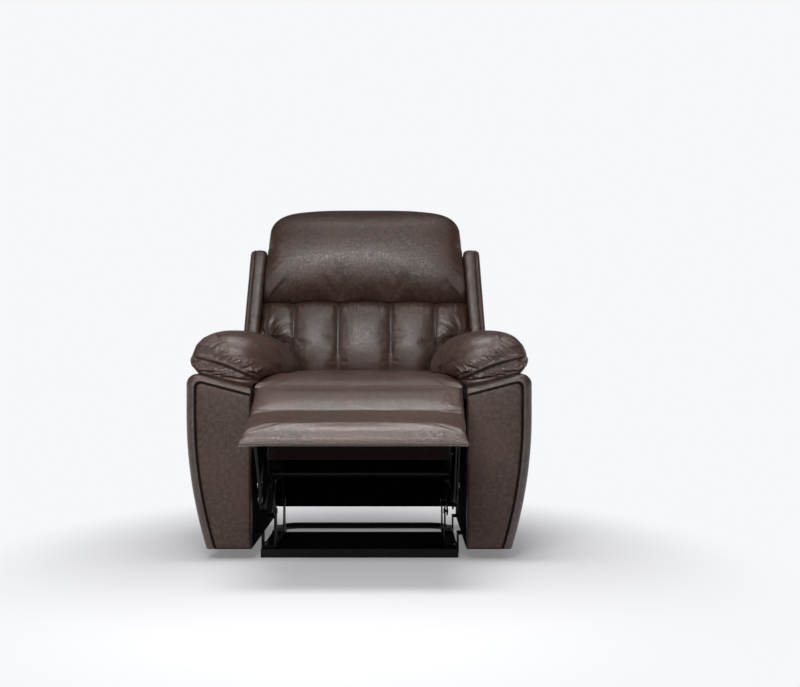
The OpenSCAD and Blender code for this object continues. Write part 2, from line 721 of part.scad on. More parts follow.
// Side wings: padded panels beside the cushions, leaning in with them
wing_front = 25;
wing_top = 405;
wing_r = 25;
function wing_inner(z) = back_half_w + 1.2 - side_lean * (z - seam_up);
module back_wing(right) {
    lean = atan(side_lean);
    color(leather_light) in_back() one_side(right)
        translate([wing_inner(wide_from), 0, wide_from]) rotate([0, -lean, 0])
            upright_plate(0, wing_t) union() {
                translate([wing_front, 0]) square([shell_y - wing_front, wing_top - wide_from - wing_r]);
                translate([wing_front + wing_r, 0])
                    square([shell_y - wing_front - wing_r, wing_top - wide_from]);
                dot([wing_front + wing_r, wing_top - wide_from - wing_r], wing_r);
            }
}
module back_wing_left() { back_wing(false); }
module back_wing_right() { back_wing(true); }

// Outside back panel: narrow between the arms, wider between the wings, rounded at the top
panel_corner = 70;
module back_panel() {
    foot = wing_inner(wide_from) - 0.5;
    half = wing_inner(panel_top - panel_corner) - 0.5;
    color(leather) in_back() translate([0, shell_y, 0]) rotate([90, 0, 0]) linear_extrude(panel_t) union() {
        translate([-narrow_half, back_foot]) square([2 * narrow_half, wide_from - back_foot + 1]);
        polygon([[-foot, wide_from], [foot, wide_from], [half, panel_top - panel_corner],
            [half - panel_corner, panel_top], [panel_corner - half, panel_top], [-half, panel_top - panel_corner]]);
        for (s = [-1, 1]) translate([s * (half - panel_corner), panel_top - panel_corner]) circle(panel_corner);
    }
}

// Frame of the back: two uprights, three rails, hinge brackets and webbing
upright_w = 22;
back_rail_h = 45;
upright_top = wing_top - back_rail_h;
module back_uprights() {
    color(plywood) in_back() both_sides() translate([link1_x + link_t, frame_y, back_foot])
        cube([upright_w, upright_d, upright_top - back_foot]);
}
module back_rails() {
    inner = link1_x + link_t;
    color(plywood) in_back() {
        for (z = [back_foot + 20, wide_from + 30]) translate([-inner, frame_y, z])
            cube([2 * inner, upright_d, back_rail_h]);
        translate([-inner - upright_w, frame_y, upright_top])
            cube([2 * (inner + upright_w), upright_d, back_rail_h]);
    }
}
module back_brackets() {
    p = to_back(back_pivot);
    color(black_steel) in_back() both_sides() upright_plate(link1_x, link_t) difference() {
        union() {
            dot(p, 20);
            polygon([p + [-12, -16], p + [8, -18], [frame_y + upright_d - 4, back_foot + 8],
                [frame_y + upright_d - 4, back_foot + 18], [frame_y + 2, back_foot + 18], p + [-14, 14]]);
        }
        dot(p, rivet_r + pin_gap);
    }
}
webbing_t = 2;
webbing_w = 50;
webbing_at = [cushion_foot + 35, cushion_foot + 120, seam_up - 32, seam_up + 63];
module back_webbing() {
    half = link1_x + link_t + upright_w - 2;
    color(cloth) in_back() for (z = webbing_at)
        translate([-half, lumbar_t, z]) cube([2 * half, webbing_t, webbing_w]);
}

// Scissor linkage of the footrest, two links to a side in each direction
drive_r = 9;
module footrest_drive_tube() {
    color(black_steel) pin(pivot_a, drive_r, -link1_x, link1_x);
}
module footrest_link_a() {
    color(black_steel) both_sides() union() {
        upright_plate(link1_x, link_t) union() {
            dot(pivot_a, drive_r + 4);
            bar(pivot_a, knee, link_r);
        }
        rivet(knee, link1_x, link3_x + link_t, head_t, free_head_t);
    }
}
module footrest_link_b() {
    color(black_steel) both_sides() upright_plate(link2_x, link_t) difference() {
        bar(pivot_b, elbow, link_r);
        for (p = [pivot_b, cross, elbow]) dot(p, rivet_r + pin_gap);
    }
}
module footrest_link_c() {
    color(black_steel) both_sides() upright_plate(link3_x, link_t) difference() {
        bar(knee, foot_1, link_r);
        for (p = [knee, cross, foot_1]) dot(p, rivet_r + pin_gap);
    }
}
module footrest_link_d() {
    color(black_steel) both_sides() upright_plate(link1_x, link_t) difference() {
        bar(elbow, foot_2, link_r);
        for (p = [elbow, foot_2]) dot(p, rivet_r + pin_gap);
    }
}
module footrest_rivets_b() {
    color(zinc) both_sides() {
        rivet(elbow, link1_x, link2_x + link_t, head_t, head_t);
        rivet(cross, link2_x, link2_x + link_t, head_t, 0);
    }
}
module footrest_rivets_c() {
    color(zinc) both_sides() {
        rivet(foot_1, link2_x, link3_x + link_t, head_t, free_head_t);
        union() {
            pin(cross, rivet_r, link3_x, link3_x + link_t);
            pin(cross, head_r, link3_x + link_t, link3_x + link_t + free_head_t);
        }
    }
}
module footrest_rivets_d() {
    color(zinc) both_sides() rivet(foot_2, link1_x, link1_x + link_t, head_t, 0);
}

// The footrest board's own frame: -Y' runs forward along it and Z' is square to it
module in_board() { translate([0, front_y - board_reach, board_z]) rotate([board_pitch, 0, 0]) children(); }
function to_board(p) = let (d = p - at(-board_reach, board_z))
    [d[0] * cos(board_pitch) + d[1] * sin(board_pitch), -d[0] * sin(board_pitch) + d[1] * cos(board_pitch)];
board_half = link2_x - 2;
flange_t = 3;
module footrest_brackets() {
    a = to_board(foot_1);
    b = to_board(foot_2);
    under = -board_t / 2;
    color(black_steel) in_board() both_sides() difference() {
        union() {
            upright_plate(link2_x, link_t) union() {
                bar(a, b, 12);
                polygon([a, b, [b[0] - 22, under - flange_t], [b[0] - 22, under], [a[0] - 16, under], [a[0] - 6, under - 4]]);
            }
            translate([link2_x - 26, b[0] - 22, under - flange_t]) cube([26 + link_t, 52, flange_t]);
        }
        pin(a, rivet_r + pin_gap, link2_x - 1, link2_x + link_t + 1);
    }
    color(zinc) in_board() both_sides() pin(b, head_r, link2_x + link_t, link2_x + link_t + head_t);
}
module footrest_board() {
    color(plywood) in_board() translate([-board_half, -board_len, -board_t / 2])
        cube([2 * board_half, board_len, board_t]);
}

// Butt hinges of the calf flap, under the rear edge of the board: three knuckles and a pin each
knuckle_r = 3.5;
hinge_pin_r = 1.5;
hinge_out = 3;
hinge_low = board_t / 2 + 2;
hinge_x = 150;
knuckle = 24;
leaf_t = 1.5;
leaf_len = 30;
module knuckles(places, bore) {
    for (x = places) translate([x - knuckle / 2, 0, 0]) rotate([0, 90, 0]) difference() {
        cylinder(r = knuckle_r, h = knuckle - 0.4);
        if (bore > 0) translate([0, 0, -1]) cylinder(r = bore, h = knuckle + 2);
    }
}
module calf_hinge_front() {
    color(zinc) in_board() translate([0, hinge_out, -hinge_low]) both_sides() translate([hinge_x, 0, 0]) union() {
        knuckles([-knuckle, knuckle], 0);
        for (x = [-knuckle, knuckle]) translate([x - knuckle / 2, -leaf_len, 0.5])
            cube([knuckle - 0.4, leaf_len, leaf_t]);
        translate([-knuckle - 2, -leaf_len, 0.5]) cube([2 * knuckle + 4, leaf_len - 6, leaf_t]);
        translate([-knuckle, 0, 0]) rotate([0, 90, 0]) cylinder(r = hinge_pin_r, h = 2 * knuckle);
    }
}
module calf_hinge_rear() {
    color(zinc) in_flap() both_sides() translate([hinge_x, 0, 0]) difference() {
        union() {
            knuckles([0], 0);
            translate([-knuckle / 2, 0, 0.5]) cube([knuckle - 0.4, leaf_len, leaf_t]);
        }
        translate([-knuckle, 0, 0]) rotate([0, 90, 0]) cylinder(r = hinge_pin_r + pin_gap, h = 2 * knuckle);
    }
}

// A pad over a board: flat below, crowned above, with rounded sides and ends
pad_points = 26;
function pad_ring(along, low, thick, half, crown) = [for (i = [0:pad_points - 1])
    let (
        a = 360 * i / pad_points,
        x = half * bow(sin(a), 0.35),
        v = bow(cos(a), 0.5),
        mid = thick * 0.45
    ) [x, along, low + mid + v * (v > 0 ? thick - mid - crown * pow(x / half, 4) : mid)]];
module footrest_pad() {
    half = pad_w / 2;
    low = board_t / 2 + seat_gap;
    lip = -board_t / 2 - 1;
    bevel = tan((flap_pitch - board_pitch) / 2);
    color(leather) in_board() skin([for (k = [0:13]) let (
            t = [-board_len - pad_over, -board_len - pad_over + 2, -board_len - pad_over / 2, -board_len - 1, -board_len - seat_gap,
                -board_len + 14, -board_len + 50, -board_len + 110, -100, -60, -28, -12, -5, -2][k],
            front = k < 4,
            thick = pad_t * [0.55, 0.76, 0.9, 0.96, 0.97, 0.99, 1, 1, 1, 1, 0.99, 0.97, 0.94, 0.9][k],
            inset = [14, 8, 4, 2, 2, 0, 0, 0, 0, 0, 0, 2, 4, 7][k]
        ) pad_ring(t, front ? lip + [8, 3, 1, 0][k] : low,
            front ? thick + low - lip - [8, 3, 1, 0][k] : thick, half - inset, 7)]);
}

// The calf flap folds on that line
hinge_point = at(-board_reach, board_z) + [
    hinge_out * cos(board_pitch) + hinge_low * sin(board_pitch),
    hinge_out * sin(board_pitch) - hinge_low * cos(board_pitch)];
module in_flap() { translate([0, hinge_point[0], hinge_point[1]]) rotate([flap_pitch, 0, 0]) children(); }
module calf_board() {
    color(plywood) in_flap() translate([-board_half, 5, 2]) cube([2 * board_half, flap_len - 5, board_t - 2]);
}
calf_shear = 0.34;
module calf_pad() {
    half = pad_w / 2;
    low = board_t + seat_gap;
    color(leather) in_flap() skin([for (k = [0:9]) let (
            f = [9, 13, 20, 36, 66, 100, 124, 138, 146, 150][k] * flap_len / 150,
            thick = pad_t * [0.9, 0.94, 0.97, 0.99, 1, 1, 1, 1, 0.97, 0.92][k],
            inset = [9, 6, 4, 4, 7, 11, 14, 16, 18, 22][k],
            ring = pad_ring(f, low, thick, half - inset, 7)
        ) [for (q = ring) [q[0], q[1] + calf_shear * pow(k / 9, 2) * (q[2] - low), q[2]]]]);
}

base_rail_left();
base_rail_right();
base_front_bar();
base_rear_tube();
base_pan();
base_upright_left();
base_upright_right();
floor_glides();
base_bolts();
lift_rivets();
arm_shell_left();
arm_shell_right();
arm_face_left();
arm_face_right();
arm_welt_left();
arm_welt_right();
arm_pillow_left();
arm_pillow_right();
arm_frame_left();
arm_frame_right();
arm_brackets();
rear_panel();
release_bezel();
release_lever();
lift_links_front();
lift_links_rear();
seat_plate_left();
seat_plate_right();
seat_rails();
seat_side_rails();
seat_cross_tube();
seat_springs();
seat_front_cover();
seat_rivets();
seat_cushion();
back_uprights();
back_rails();
back_brackets();
back_webbing();
back_panel();
back_wing_left();
back_wing_right();
lumbar_cushion();
headrest_cushion();
footrest_drive_tube();
footrest_link_a();
footrest_link_b();
footrest_link_c();
footrest_link_d();
footrest_rivets_b();
footrest_rivets_c();
footrest_rivets_d();
footrest_brackets();
footrest_board();
footrest_pad();
calf_hinge_front();
calf_hinge_rear();
calf_board();
calf_pad();
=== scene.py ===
"""Upholstered recliner with its footrest open: the looks of each piece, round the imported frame."""

import math

import bmesh
import bpy
import numpy as np
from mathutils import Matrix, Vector
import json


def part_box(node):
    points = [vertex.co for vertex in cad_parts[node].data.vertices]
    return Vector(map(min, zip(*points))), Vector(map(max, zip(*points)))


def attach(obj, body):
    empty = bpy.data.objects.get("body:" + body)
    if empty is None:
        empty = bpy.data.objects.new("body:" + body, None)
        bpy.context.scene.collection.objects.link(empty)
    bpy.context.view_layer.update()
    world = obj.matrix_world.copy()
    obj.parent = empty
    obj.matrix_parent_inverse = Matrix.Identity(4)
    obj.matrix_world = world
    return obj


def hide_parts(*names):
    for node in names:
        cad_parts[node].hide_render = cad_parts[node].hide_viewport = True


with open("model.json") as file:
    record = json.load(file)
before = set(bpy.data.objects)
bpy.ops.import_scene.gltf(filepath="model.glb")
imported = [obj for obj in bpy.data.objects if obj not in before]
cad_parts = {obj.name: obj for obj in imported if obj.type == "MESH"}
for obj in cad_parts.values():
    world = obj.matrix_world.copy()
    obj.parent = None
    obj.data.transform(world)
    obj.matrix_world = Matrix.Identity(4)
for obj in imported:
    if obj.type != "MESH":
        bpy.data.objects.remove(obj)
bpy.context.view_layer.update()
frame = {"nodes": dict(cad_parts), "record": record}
scene = bpy.context.scene
scene.view_settings.view_transform = "Standard"

# Camera, light and floor.
# A level camera at about the height of the arm pillows, four metres in front of the arms, looks at
# the chair on a pale seamless floor under broad soft lamps.
arm_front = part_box("arm_face_right")[0].y
lens = bpy.data.cameras.new("camera")
lens.lens, lens.sensor_width, lens.sensor_fit = 65.25, 36.0, "HORIZONTAL"
lens.clip_end = 60
camera = bpy.data.objects.new("camera", lens)
camera.location = (0.1135, arm_front - 4.008, 0.600)
camera.rotation_euler = (math.radians(90), 0, 0)
scene.collection.objects.link(camera)
scene.camera = camera


def softbox(name, wide, high, watts, place, aim, fan=180, shines=True):
    """A rectangular soft lamp hung at a place and turned to a point, its light fanning out over the
    given angle; the camera doesn't see it, and gloss shows it only where it shines."""
    lamp = bpy.data.lights.new(name, "AREA")
    lamp.shape, lamp.size, lamp.size_y, lamp.energy = "RECTANGLE", wide, high, watts
    lamp.spread = math.radians(fan)
    holder = bpy.data.objects.new(name, lamp)
    holder.location = place
    holder.rotation_euler = (Vector(aim) - Vector(place)).to_track_quat("-Z", "Y").to_euler()
    holder.visible_camera = False
    holder.visible_glossy = shines
    scene.collection.objects.link(holder)


softbox("top_softbox", 2.3, 1.3, 24, (-0.25, arm_front - 0.10, 3.9), (0.0, arm_front - 1.20, 0.40), fan=70)
softbox("front_softbox", 1.6, 0.60, 92, (-0.45, arm_front - 3.0, 2.15), (0.0, 0.1, 0.75))
softbox("rear_softbox", 2.5, 1.5, 34, (0.9, 3.2, 2.6), (0.0, 0.2, 0.3), shines=False)


def wired(tree, kind, **inputs):
    """A shader node of one kind with its inputs set to values or joined to other nodes' outputs."""
    node = tree.nodes.new(kind)
    for key, value in inputs.items():
        if key.startswith("set_"):
            setattr(node, key[4:], value)
    for key, value in inputs.items():
        if key.startswith("set_"):
            continue
        socket = node.inputs[int(key[1:])] if key[0] == "i" and key[1:].isdigit() else node.inputs[key.replace("_",
            " ")]
        if isinstance(value, bpy.types.NodeSocket):
            tree.links.new(value, socket)
        else:
            socket.default_value = value
    return node


def maths(tree, operation, *values):
    """A number worked out from one to three others."""
    return wired(tree, "ShaderNodeMath", set_operation=operation,
        **{"i%d" % k: v for k, v in enumerate(values)}).outputs[0]


def eased(tree, value, low, high, first=0.0, last=1.0, kind="SMOOTHSTEP"):
    """A value taken from first, at low, to last, at high: in a smooth S, or straight if kind is LINEAR."""
    return wired(tree, "ShaderNodeMapRange", set_interpolation_type=kind, Value=value,
        From_Min=low, From_Max=high, To_Min=first, To_Max=last).outputs[0]


def mixed(tree, share, one, other):
    """One colour turned into the other by a share."""
    return wired(tree, "ShaderNodeMix", set_data_type="RGBA", i0=share, i6=one, i7=other).outputs[2]


paper_white = (0.925, 0.932, 0.949, 1)


def blank_material(name):
    """A material with an empty tree; gives it, its tree and the socket of the place in the object."""
    material = bpy.data.materials.new(name)
    material.use_nodes = True
    material.node_tree.nodes.clear()
    return material, material.node_tree, material.node_tree.nodes.new("ShaderNodeTexCoord").outputs["Object"]


def finished(material, shader):
    """Joins the shader to the material's output and gives the material."""
    tree = material.node_tree
    tree.links.new(shader.outputs[0], tree.nodes.new("ShaderNodeOutputMaterial").inputs[0])
    return material


def pale_where_seen(tree):
    """1 for camera, glossy and transmission rays, which see the background's own colour."""
    path = tree.nodes.new("ShaderNodeLightPath")
    either = maths(tree, "MAXIMUM", path.outputs["Is Camera Ray"], path.outputs["Is Glossy Ray"])
    return maths(tree, "MAXIMUM", either, path.outputs["Is Transmission Ray"])


world = bpy.data.worlds.new("studio")
scene.world = world
world.use_nodes = True
sky = world.node_tree
sky.nodes.clear()
# the gloss shows the pale backdrop round the chair, a darker ceiling, and a dimmer room behind the camera
heading = sky.nodes.new("ShaderNodeTexCoord")
parts = wired(sky, "ShaderNodeSeparateXYZ", i0=heading.outputs["Generated"])
ceiling = eased(sky, parts.outputs["Z"], 0.0, 0.30, 0.9, 0.10)
shown = wired(sky, "ShaderNodeLightPath")
room = eased(sky, parts.outputs["Y"], -0.45, 0.70, 0.10, 1.0)
gloss_level = maths(sky, "MULTIPLY", ceiling, room)
level = wired(sky, "ShaderNodeMix", set_data_type="FLOAT", i0=shown.outputs["Is Glossy Ray"], i2=1.0, i3=gloss_level)
dim = wired(sky, "ShaderNodeBackground", Color=(0.93, 0.95, 1.0, 1), Strength=0.22)
pale = wired(sky, "ShaderNodeBackground", Color=paper_white, Strength=level.outputs[0])
sky_mix = wired(sky, "ShaderNodeMixShader", i0=pale_where_seen(sky), i1=dim.outputs[0], i2=pale.outputs[0])
sky.links.new(sky_mix.outputs[0], sky.nodes.new("ShaderNodeOutputWorld").inputs[0])

floor_paint, tree, where = blank_material("studio_floor")
moved = wired(tree, "ShaderNodeVectorMath", set_operation="ADD", i0=where, i1=(0.0, 0.22, 0.0))
oval = wired(tree, "ShaderNodeVectorMath", set_operation="MULTIPLY", i0=moved.outputs[0], i1=(1.0, 0.62, 1.0))
far = wired(tree, "ShaderNodeVectorMath", set_operation="LENGTH", i0=oval.outputs[0])
away = eased(tree, far.outputs["Value"], 0.50, 1.16)
lit = wired(tree, "ShaderNodeBsdfDiffuse", Color=(0.40, 0.40, 0.40, 1))
half_lit = wired(tree, "ShaderNodeBsdfDiffuse", Color=(0.50, 0.50, 0.51, 1))
lift = wired(tree, "ShaderNodeEmission", Color=paper_white, Strength=0.20)
near_look = wired(tree, "ShaderNodeAddShader", i0=half_lit.outputs[0], i1=lift.outputs[0])
plain = wired(tree, "ShaderNodeEmission", Color=paper_white, Strength=1.0)
look = wired(tree, "ShaderNodeMixShader", i0=away, i1=near_look.outputs[0], i2=plain.outputs[0])
floor_mix = wired(tree, "ShaderNodeMixShader", i0=pale_where_seen(tree), i1=lit.outputs[0], i2=look.outputs[0])
finished(floor_paint, floor_mix)
floor_mesh = bpy.data.meshes.new("floor")
floor_mesh.from_pydata([(-30, -30, -0.0005), (30, -30, -0.0005), (30, 30, -0.0005), (-30, 30, -0.0005)], [],
    [(0, 1, 2, 3)])
floor_mesh.materials.append(floor_paint)
floor = bpy.data.objects.new("floor", floor_mesh)
scene.collection.objects.link(floor)


# Headrest.
# A deep foam cushion in one leather cover, sewn to the lumbar cushion below and folded over the
# timber top rail; its face swells forward and its shoulders are round.
def new_group(name, inputs, outputs):
    """A shader node group; gives the tree and its two end nodes. An input given None is a vector, and
    one given a number is a number that starts at it; the outputs are numbers."""
    group = bpy.data.node_groups.new(name, "ShaderNodeTree")
    for label, value in inputs.items():
        kind = "NodeSocketVector" if value is None else "NodeSocketFloat"
        socket = group.interface.new_socket(name=label, in_out="INPUT", socket_type=kind)
        if value is not None:
            socket.default_value = value
    for label in outputs:
        group.interface.new_socket(name=label, in_out="OUTPUT", socket_type="NodeSocketFloat")
    return group, group.nodes.new("NodeGroupInput"), group.nodes.new("NodeGroupOutput")


def given(tree, end, **results):
    """Joins results to a group's outputs and gives the group."""
    for label, socket in results.items():
        tree.links.new(socket, end.inputs[label])
    return tree


def hide_pattern():
    """Leather grain: cells of about 2 mm between fine creases, larger soft mottling, and a wandering tone."""
    g, a, b = new_group("hide_pattern", {"Vector": None, "Grain Size": 0.0022, "Mottle Size": 0.011},
        ("Grain", "Mottle", "Drift", "Pebble"))
    fine = maths(g, "DIVIDE", 1.0, a.outputs["Grain Size"])
    wide = maths(g, "DIVIDE", 1.0, a.outputs["Mottle Size"])
    bend = wired(g, "ShaderNodeTexNoise", Vector=a.outputs["Vector"], Scale=140.0, Detail=2.0)
    push = wired(g, "ShaderNodeVectorMath", set_operation="MULTIPLY_ADD", i0=bend.outputs["Color"],
        i1=(0.0016, 0.0016, 0.0016), i2=a.outputs["Vector"])
    cell = wired(g, "ShaderNodeTexVoronoi", set_feature="DISTANCE_TO_EDGE", Vector=push.outputs[0], Scale=fine)
    crease = eased(g, cell.outputs["Distance"], 0.0, 0.32)
    mottle = wired(g, "ShaderNodeTexNoise", Vector=a.outputs["Vector"], Scale=wide, Detail=3.0, Roughness=0.6)
    pebble = wired(g, "ShaderNodeTexVoronoi", set_feature="SMOOTH_F1", Vector=push.outputs[0], Scale=185.0,
        Smoothness=0.6)
    drift = wired(g, "ShaderNodeTexNoise", Vector=a.outputs["Vector"], Scale=5.0, Detail=2.0)
    return given(g, b, Grain=crease, Mottle=mottle.outputs[0], Drift=drift.outputs[0],
        Pebble=pebble.outputs["Distance"])


def sewn_line():
    """A seam from its closeness (1 on the line, 0 at 20 mm) and the place along it: the groove between
    the two leathers, and a row of stitches to each side of it."""
    g, a, b = new_group("sewn_line", {"Closeness": 0.0, "Along": 0.0, "Twin": 0.0}, ("Groove", "Stitch"))
    gap = maths(g, "MULTIPLY_ADD", a.outputs["Closeness"], -20.0, 20.0)
    shift = maths(g, "SUBTRACT", gap, a.outputs["Twin"])
    side = maths(g, "ABSOLUTE", shift)
    groove = eased(g, side, 0.6, 1.8, 1.0, 0.0)
    off = maths(g, "SUBTRACT", gap, 5.0)
    row = maths(g, "ABSOLUTE", off)
    thin = maths(g, "LESS_THAN", row, 0.6)
    step = maths(g, "MULTIPLY", a.outputs["Along"], 240.0)
    part = maths(g, "FRACT", step)
    dash = maths(g, "LESS_THAN", part, 0.68)
    stitch = maths(g, "MULTIPLY", thin, dash)
    return given(g, b, Groove=groove, Stitch=stitch)


grain_group, seam_group = hide_pattern(), sewn_line()


def coat(material, tone, rough, height, relief, depth, spec=0.5, metal=0.0):
    """Ends a material: a surface of this tone and roughness with fine relief, its depth given in metres."""
    tree = material.node_tree
    bump = wired(tree, "ShaderNodeBump", Strength=relief, Distance=depth, Height=height)
    skin = wired(tree, "ShaderNodeBsdfPrincipled", Base_Color=tone, Roughness=rough, Normal=bump.outputs[0],
        Metallic=metal, Specular_IOR_Level=spec)
    return finished(material, skin)


def leather(name, deep, tone, red, rough=0.32, twin=0.0, shine=0.80):
    """Dark brown corrected leather: base tone, deeper creases, reddish mottling, sewn lines with painted
    shade in their grooves, and a soft sheen.
    """
    m, t, at = blank_material(name)
    hide = wired(t, "ShaderNodeGroup", set_node_tree=grain_group, Vector=at)
    close = wired(t, "ShaderNodeAttribute", set_attribute_name="sewn")
    along = wired(t, "ShaderNodeAttribute", set_attribute_name="along")
    seam = wired(t, "ShaderNodeGroup", set_node_tree=seam_group, Closeness=close.outputs["Fac"],
        Along=along.outputs["Fac"], Twin=twin)
    blotch = eased(t, hide.outputs["Mottle"], 0.36, 0.68)
    c1 = mixed(t, blotch, deep, tone)
    warm = eased(t, hide.outputs["Drift"], 0.42, 0.66, 0.0, 0.45)
    c2 = mixed(t, warm, c1, red)
    pit = eased(t, hide.outputs["Grain"], 0.0, 1.0, 0.30, 0.0, "LINEAR")
    c3 = mixed(t, pit, c2, (0.012, 0.006, 0.005, 1))
    # painted shade: the seam groove is coloured near black, standing for the shade inside it
    c4 = mixed(t, seam.outputs["Groove"], c3, (0.004, 0.002, 0.002, 1))
    c5 = mixed(t, seam.outputs["Stitch"], c4, (0.120, 0.086, 0.074, 1))
    r1 = eased(t, hide.outputs["Mottle"], 0.3, 0.7, rough + 0.05, rough - 0.05, "LINEAR")
    r2 = maths(t, "MULTIPLY_ADD", seam.outputs["Groove"], 0.35, r1)
    h1 = maths(t, "MULTIPLY_ADD", seam.outputs["Groove"], -6.0, hide.outputs["Grain"])
    h2 = maths(t, "MULTIPLY_ADD", seam.outputs["Stitch"], 1.6, h1)
    h3 = maths(t, "MULTIPLY_ADD", hide.outputs["Mottle"], 0.25, h2)
    h4 = maths(t, "MULTIPLY_ADD", hide.outputs["Pebble"], -1.6, h3)
    return coat(m, c5, r2, h4, 0.6, 0.00036, spec=shine)


soft_tones = ((0.0440, 0.0222, 0.0152, 1), (0.0950, 0.0515, 0.0385, 1), (0.1000, 0.0450, 0.0315, 1))
cushion_leather = leather("cushion_leather", *soft_tones)


def smooth(mesh):
    """Shades all the mesh's faces smooth."""
    mesh.polygons.foreach_set("use_smooth", np.ones(len(mesh.polygons), bool))


def grid_piece(name, points, material, merge=True):
    """Joins a grid of points (rows, columns, xyz) into quads, each row closed on itself. Points that
    meet are merged and all faces are turned outwards."""
    rows, cols = points.shape[:2]
    index = np.arange(rows * cols).reshape(rows, cols)
    left, right = index, np.roll(index, -1, 1)
    quads = np.stack([left[:-1], right[:-1], right[1:], left[1:]], -1).reshape(-1, 4)
    mesh = bpy.data.meshes.new(name)
    mesh.from_pydata(points.reshape(-1, 3).tolist(), [], quads.tolist())
    if merge:
        bm = bmesh.new()
        bm.from_mesh(mesh)
        bmesh.ops.remove_doubles(bm, verts=bm.verts, dist=2e-5)
        bmesh.ops.recalc_face_normals(bm, faces=bm.faces)
        bm.to_mesh(mesh)
        bm.free()
    smooth(mesh)
    piece = bpy.data.objects.new(name, mesh)
    scene.collection.objects.link(piece)
    mesh.materials.append(material)
    return piece


def triples(items, what):
    """One property of a mesh's points or faces, three numbers for each, as an array."""
    out = np.empty(len(items) * 3, np.float32)
    items.foreach_get(what, out)
    return out.reshape(-1, 3).astype(float)


def spots(piece):
    """The piece's points as an array."""
    return triples(piece.data.vertices, "co")


def facing(piece):
    """The piece's point normals as an array."""
    return triples(piece.data.vertices, "normal")


def put(piece, points):
    """Sets the piece's points."""
    piece.data.vertices.foreach_set("co", points.astype(np.float32).ravel())
    piece.data.update()


def mark(piece, name, values):
    """Keeps one number for each point under a name that a material reads."""
    layer = piece.data.attributes.get(name) or piece.data.attributes.new(name, "FLOAT", "POINT")
    layer.data.foreach_set("value", values.astype(np.float32))


def unit(x):
    """x, cut off below 0 and above 1."""
    return np.clip(x, 0, 1)


def near_seam(gap):
    """1 on a sewn line and 0 from 20 mm away, which a leather reads as "sewn": it cuts a groove there,
    paints the groove near black as painted shade, and sets stitches beside it.
    """
    return unit(1 - np.abs(gap) / 0.02)


def soft_step(x, low, high):
    """0 below low, 1 above high, and a smooth S between them."""
    t = unit((x - low) / (high - low))
    return t * t * (3 - 2 * t)


def signed_power(v, p):
    """A power that keeps the sign."""
    return np.sign(v) * np.abs(v) ** p


def stacked(x, y, z):
    """Points from their x, y and z, each an array or one number for all of them."""
    return np.stack(np.broadcast_arrays(x, y, z), -1)


def even_loop(count, power, wide, deep):
    """Evenly spaced points of a rounded rectangle |x|^(2/p) + |y|^(2/p) = 1, for a form this wide and deep."""
    a = np.linspace(0, 2 * np.pi, 6001)
    x, y = signed_power(np.cos(a), power), signed_power(np.sin(a), power)
    s = np.concatenate([[0], np.cumsum(np.hypot(np.diff(x) * wide, np.diff(y) * deep))])
    t = np.interp(np.linspace(0, s[-1], count + 1)[:-1], s, a)
    return signed_power(np.cos(t), power), signed_power(np.sin(t), power)


def drawn_in(ring, steps, rise):
    """Rings that close the end of a form: each point moves to the middle line between it and its
    partner across the form, while the ring moves on by the rise, fastest at first."""
    partner = ring[(-np.arange(len(ring))) % len(ring)]
    middle = (ring + partner) / 2
    t = np.linspace(0, 1, steps + 1)[1:, None, None]
    return ring + (middle - ring) * t + np.asarray(rise, float) * np.sqrt(1 - (1 - t) ** 2)


def capped(rings, first_steps, first_rise, last_steps, last_rise):
    """A form's rings with both its ends closed by drawn-in rings."""
    first = drawn_in(rings[0], first_steps, first_rise)[::-1]
    return np.concatenate([first, rings, drawn_in(rings[-1], last_steps, last_rise)])


def finer(piece):
    """Rounds the mesh between its points by subdivision, and keeps the finer mesh."""
    mod = piece.modifiers.new("finer", "SUBSURF")
    mod.levels = mod.render_levels = 1
    bpy.context.view_layer.update()
    rounded = bpy.data.meshes.new_from_object(piece.evaluated_get(bpy.context.evaluated_depsgraph_get()))
    piece.modifiers.clear()
    old, piece.data = piece.data, rounded
    bpy.data.meshes.remove(old)
    smooth(rounded)


def stuff(piece, held, pressure, slack, cap):
    """Fills the sewn cover: a cloth simulation under air pressure, with the held points (1 held, 0 free)
    kept in place and slack as a share of spare cloth; no point moves further than cap."""
    before = spots(piece)
    group = piece.vertex_groups.new(name="held")
    for level in np.unique(np.round(held, 1)):
        if level > 0:
            group.add(np.nonzero(np.round(held, 1) == level)[0].tolist(), float(level), "REPLACE")
    mod = piece.modifiers.new("stuff", "CLOTH")
    s = mod.settings
    s.quality, s.mass, s.air_damping = 5, 0.3, 3.0
    s.tension_stiffness = s.compression_stiffness = s.shear_stiffness = 8.0
    s.bending_stiffness = 0.6
    s.use_pressure, s.uniform_pressure_force = True, pressure
    s.shrink_min = -slack
    s.vertex_group_mass = "held"
    s.pin_stiffness = 1.0
    s.effector_weights.gravity = 0
    mod.collision_settings.use_collision = False
    last_frame = 20
    mod.point_cache.frame_start, mod.point_cache.frame_end = 1, last_frame
    for f in range(1, last_frame + 1):
        scene.frame_set(f)
    filled = piece.evaluated_get(bpy.context.evaluated_depsgraph_get())
    move = spots(filled) - before
    far_moved = np.linalg.norm(move, axis=1, keepdims=True)
    move *= np.minimum(1, cap / np.maximum(far_moved, 1e-9))
    piece.modifiers.clear()
    piece.vertex_groups.clear()
    scene.frame_set(1)
    put(piece, before + move)


back_lean, back_foot_y, back_foot_z = math.radians(13), arm_front + 0.575, 0.515


def placed(points, pitch, foot_y, foot_z):
    """Turns points about the line across the chair, then moves them to a foot."""
    x, y, z = np.moveaxis(np.asarray(points, float), -1, 0)
    c, s = math.cos(pitch), math.sin(pitch)
    return stacked(x, foot_y + y * c - z * s, foot_z + y * s + z * c)


def on_back(points):
    """Places points given across, behind the back's front line, and up along its lean."""
    return placed(points, -back_lean, back_foot_y, back_foot_z)


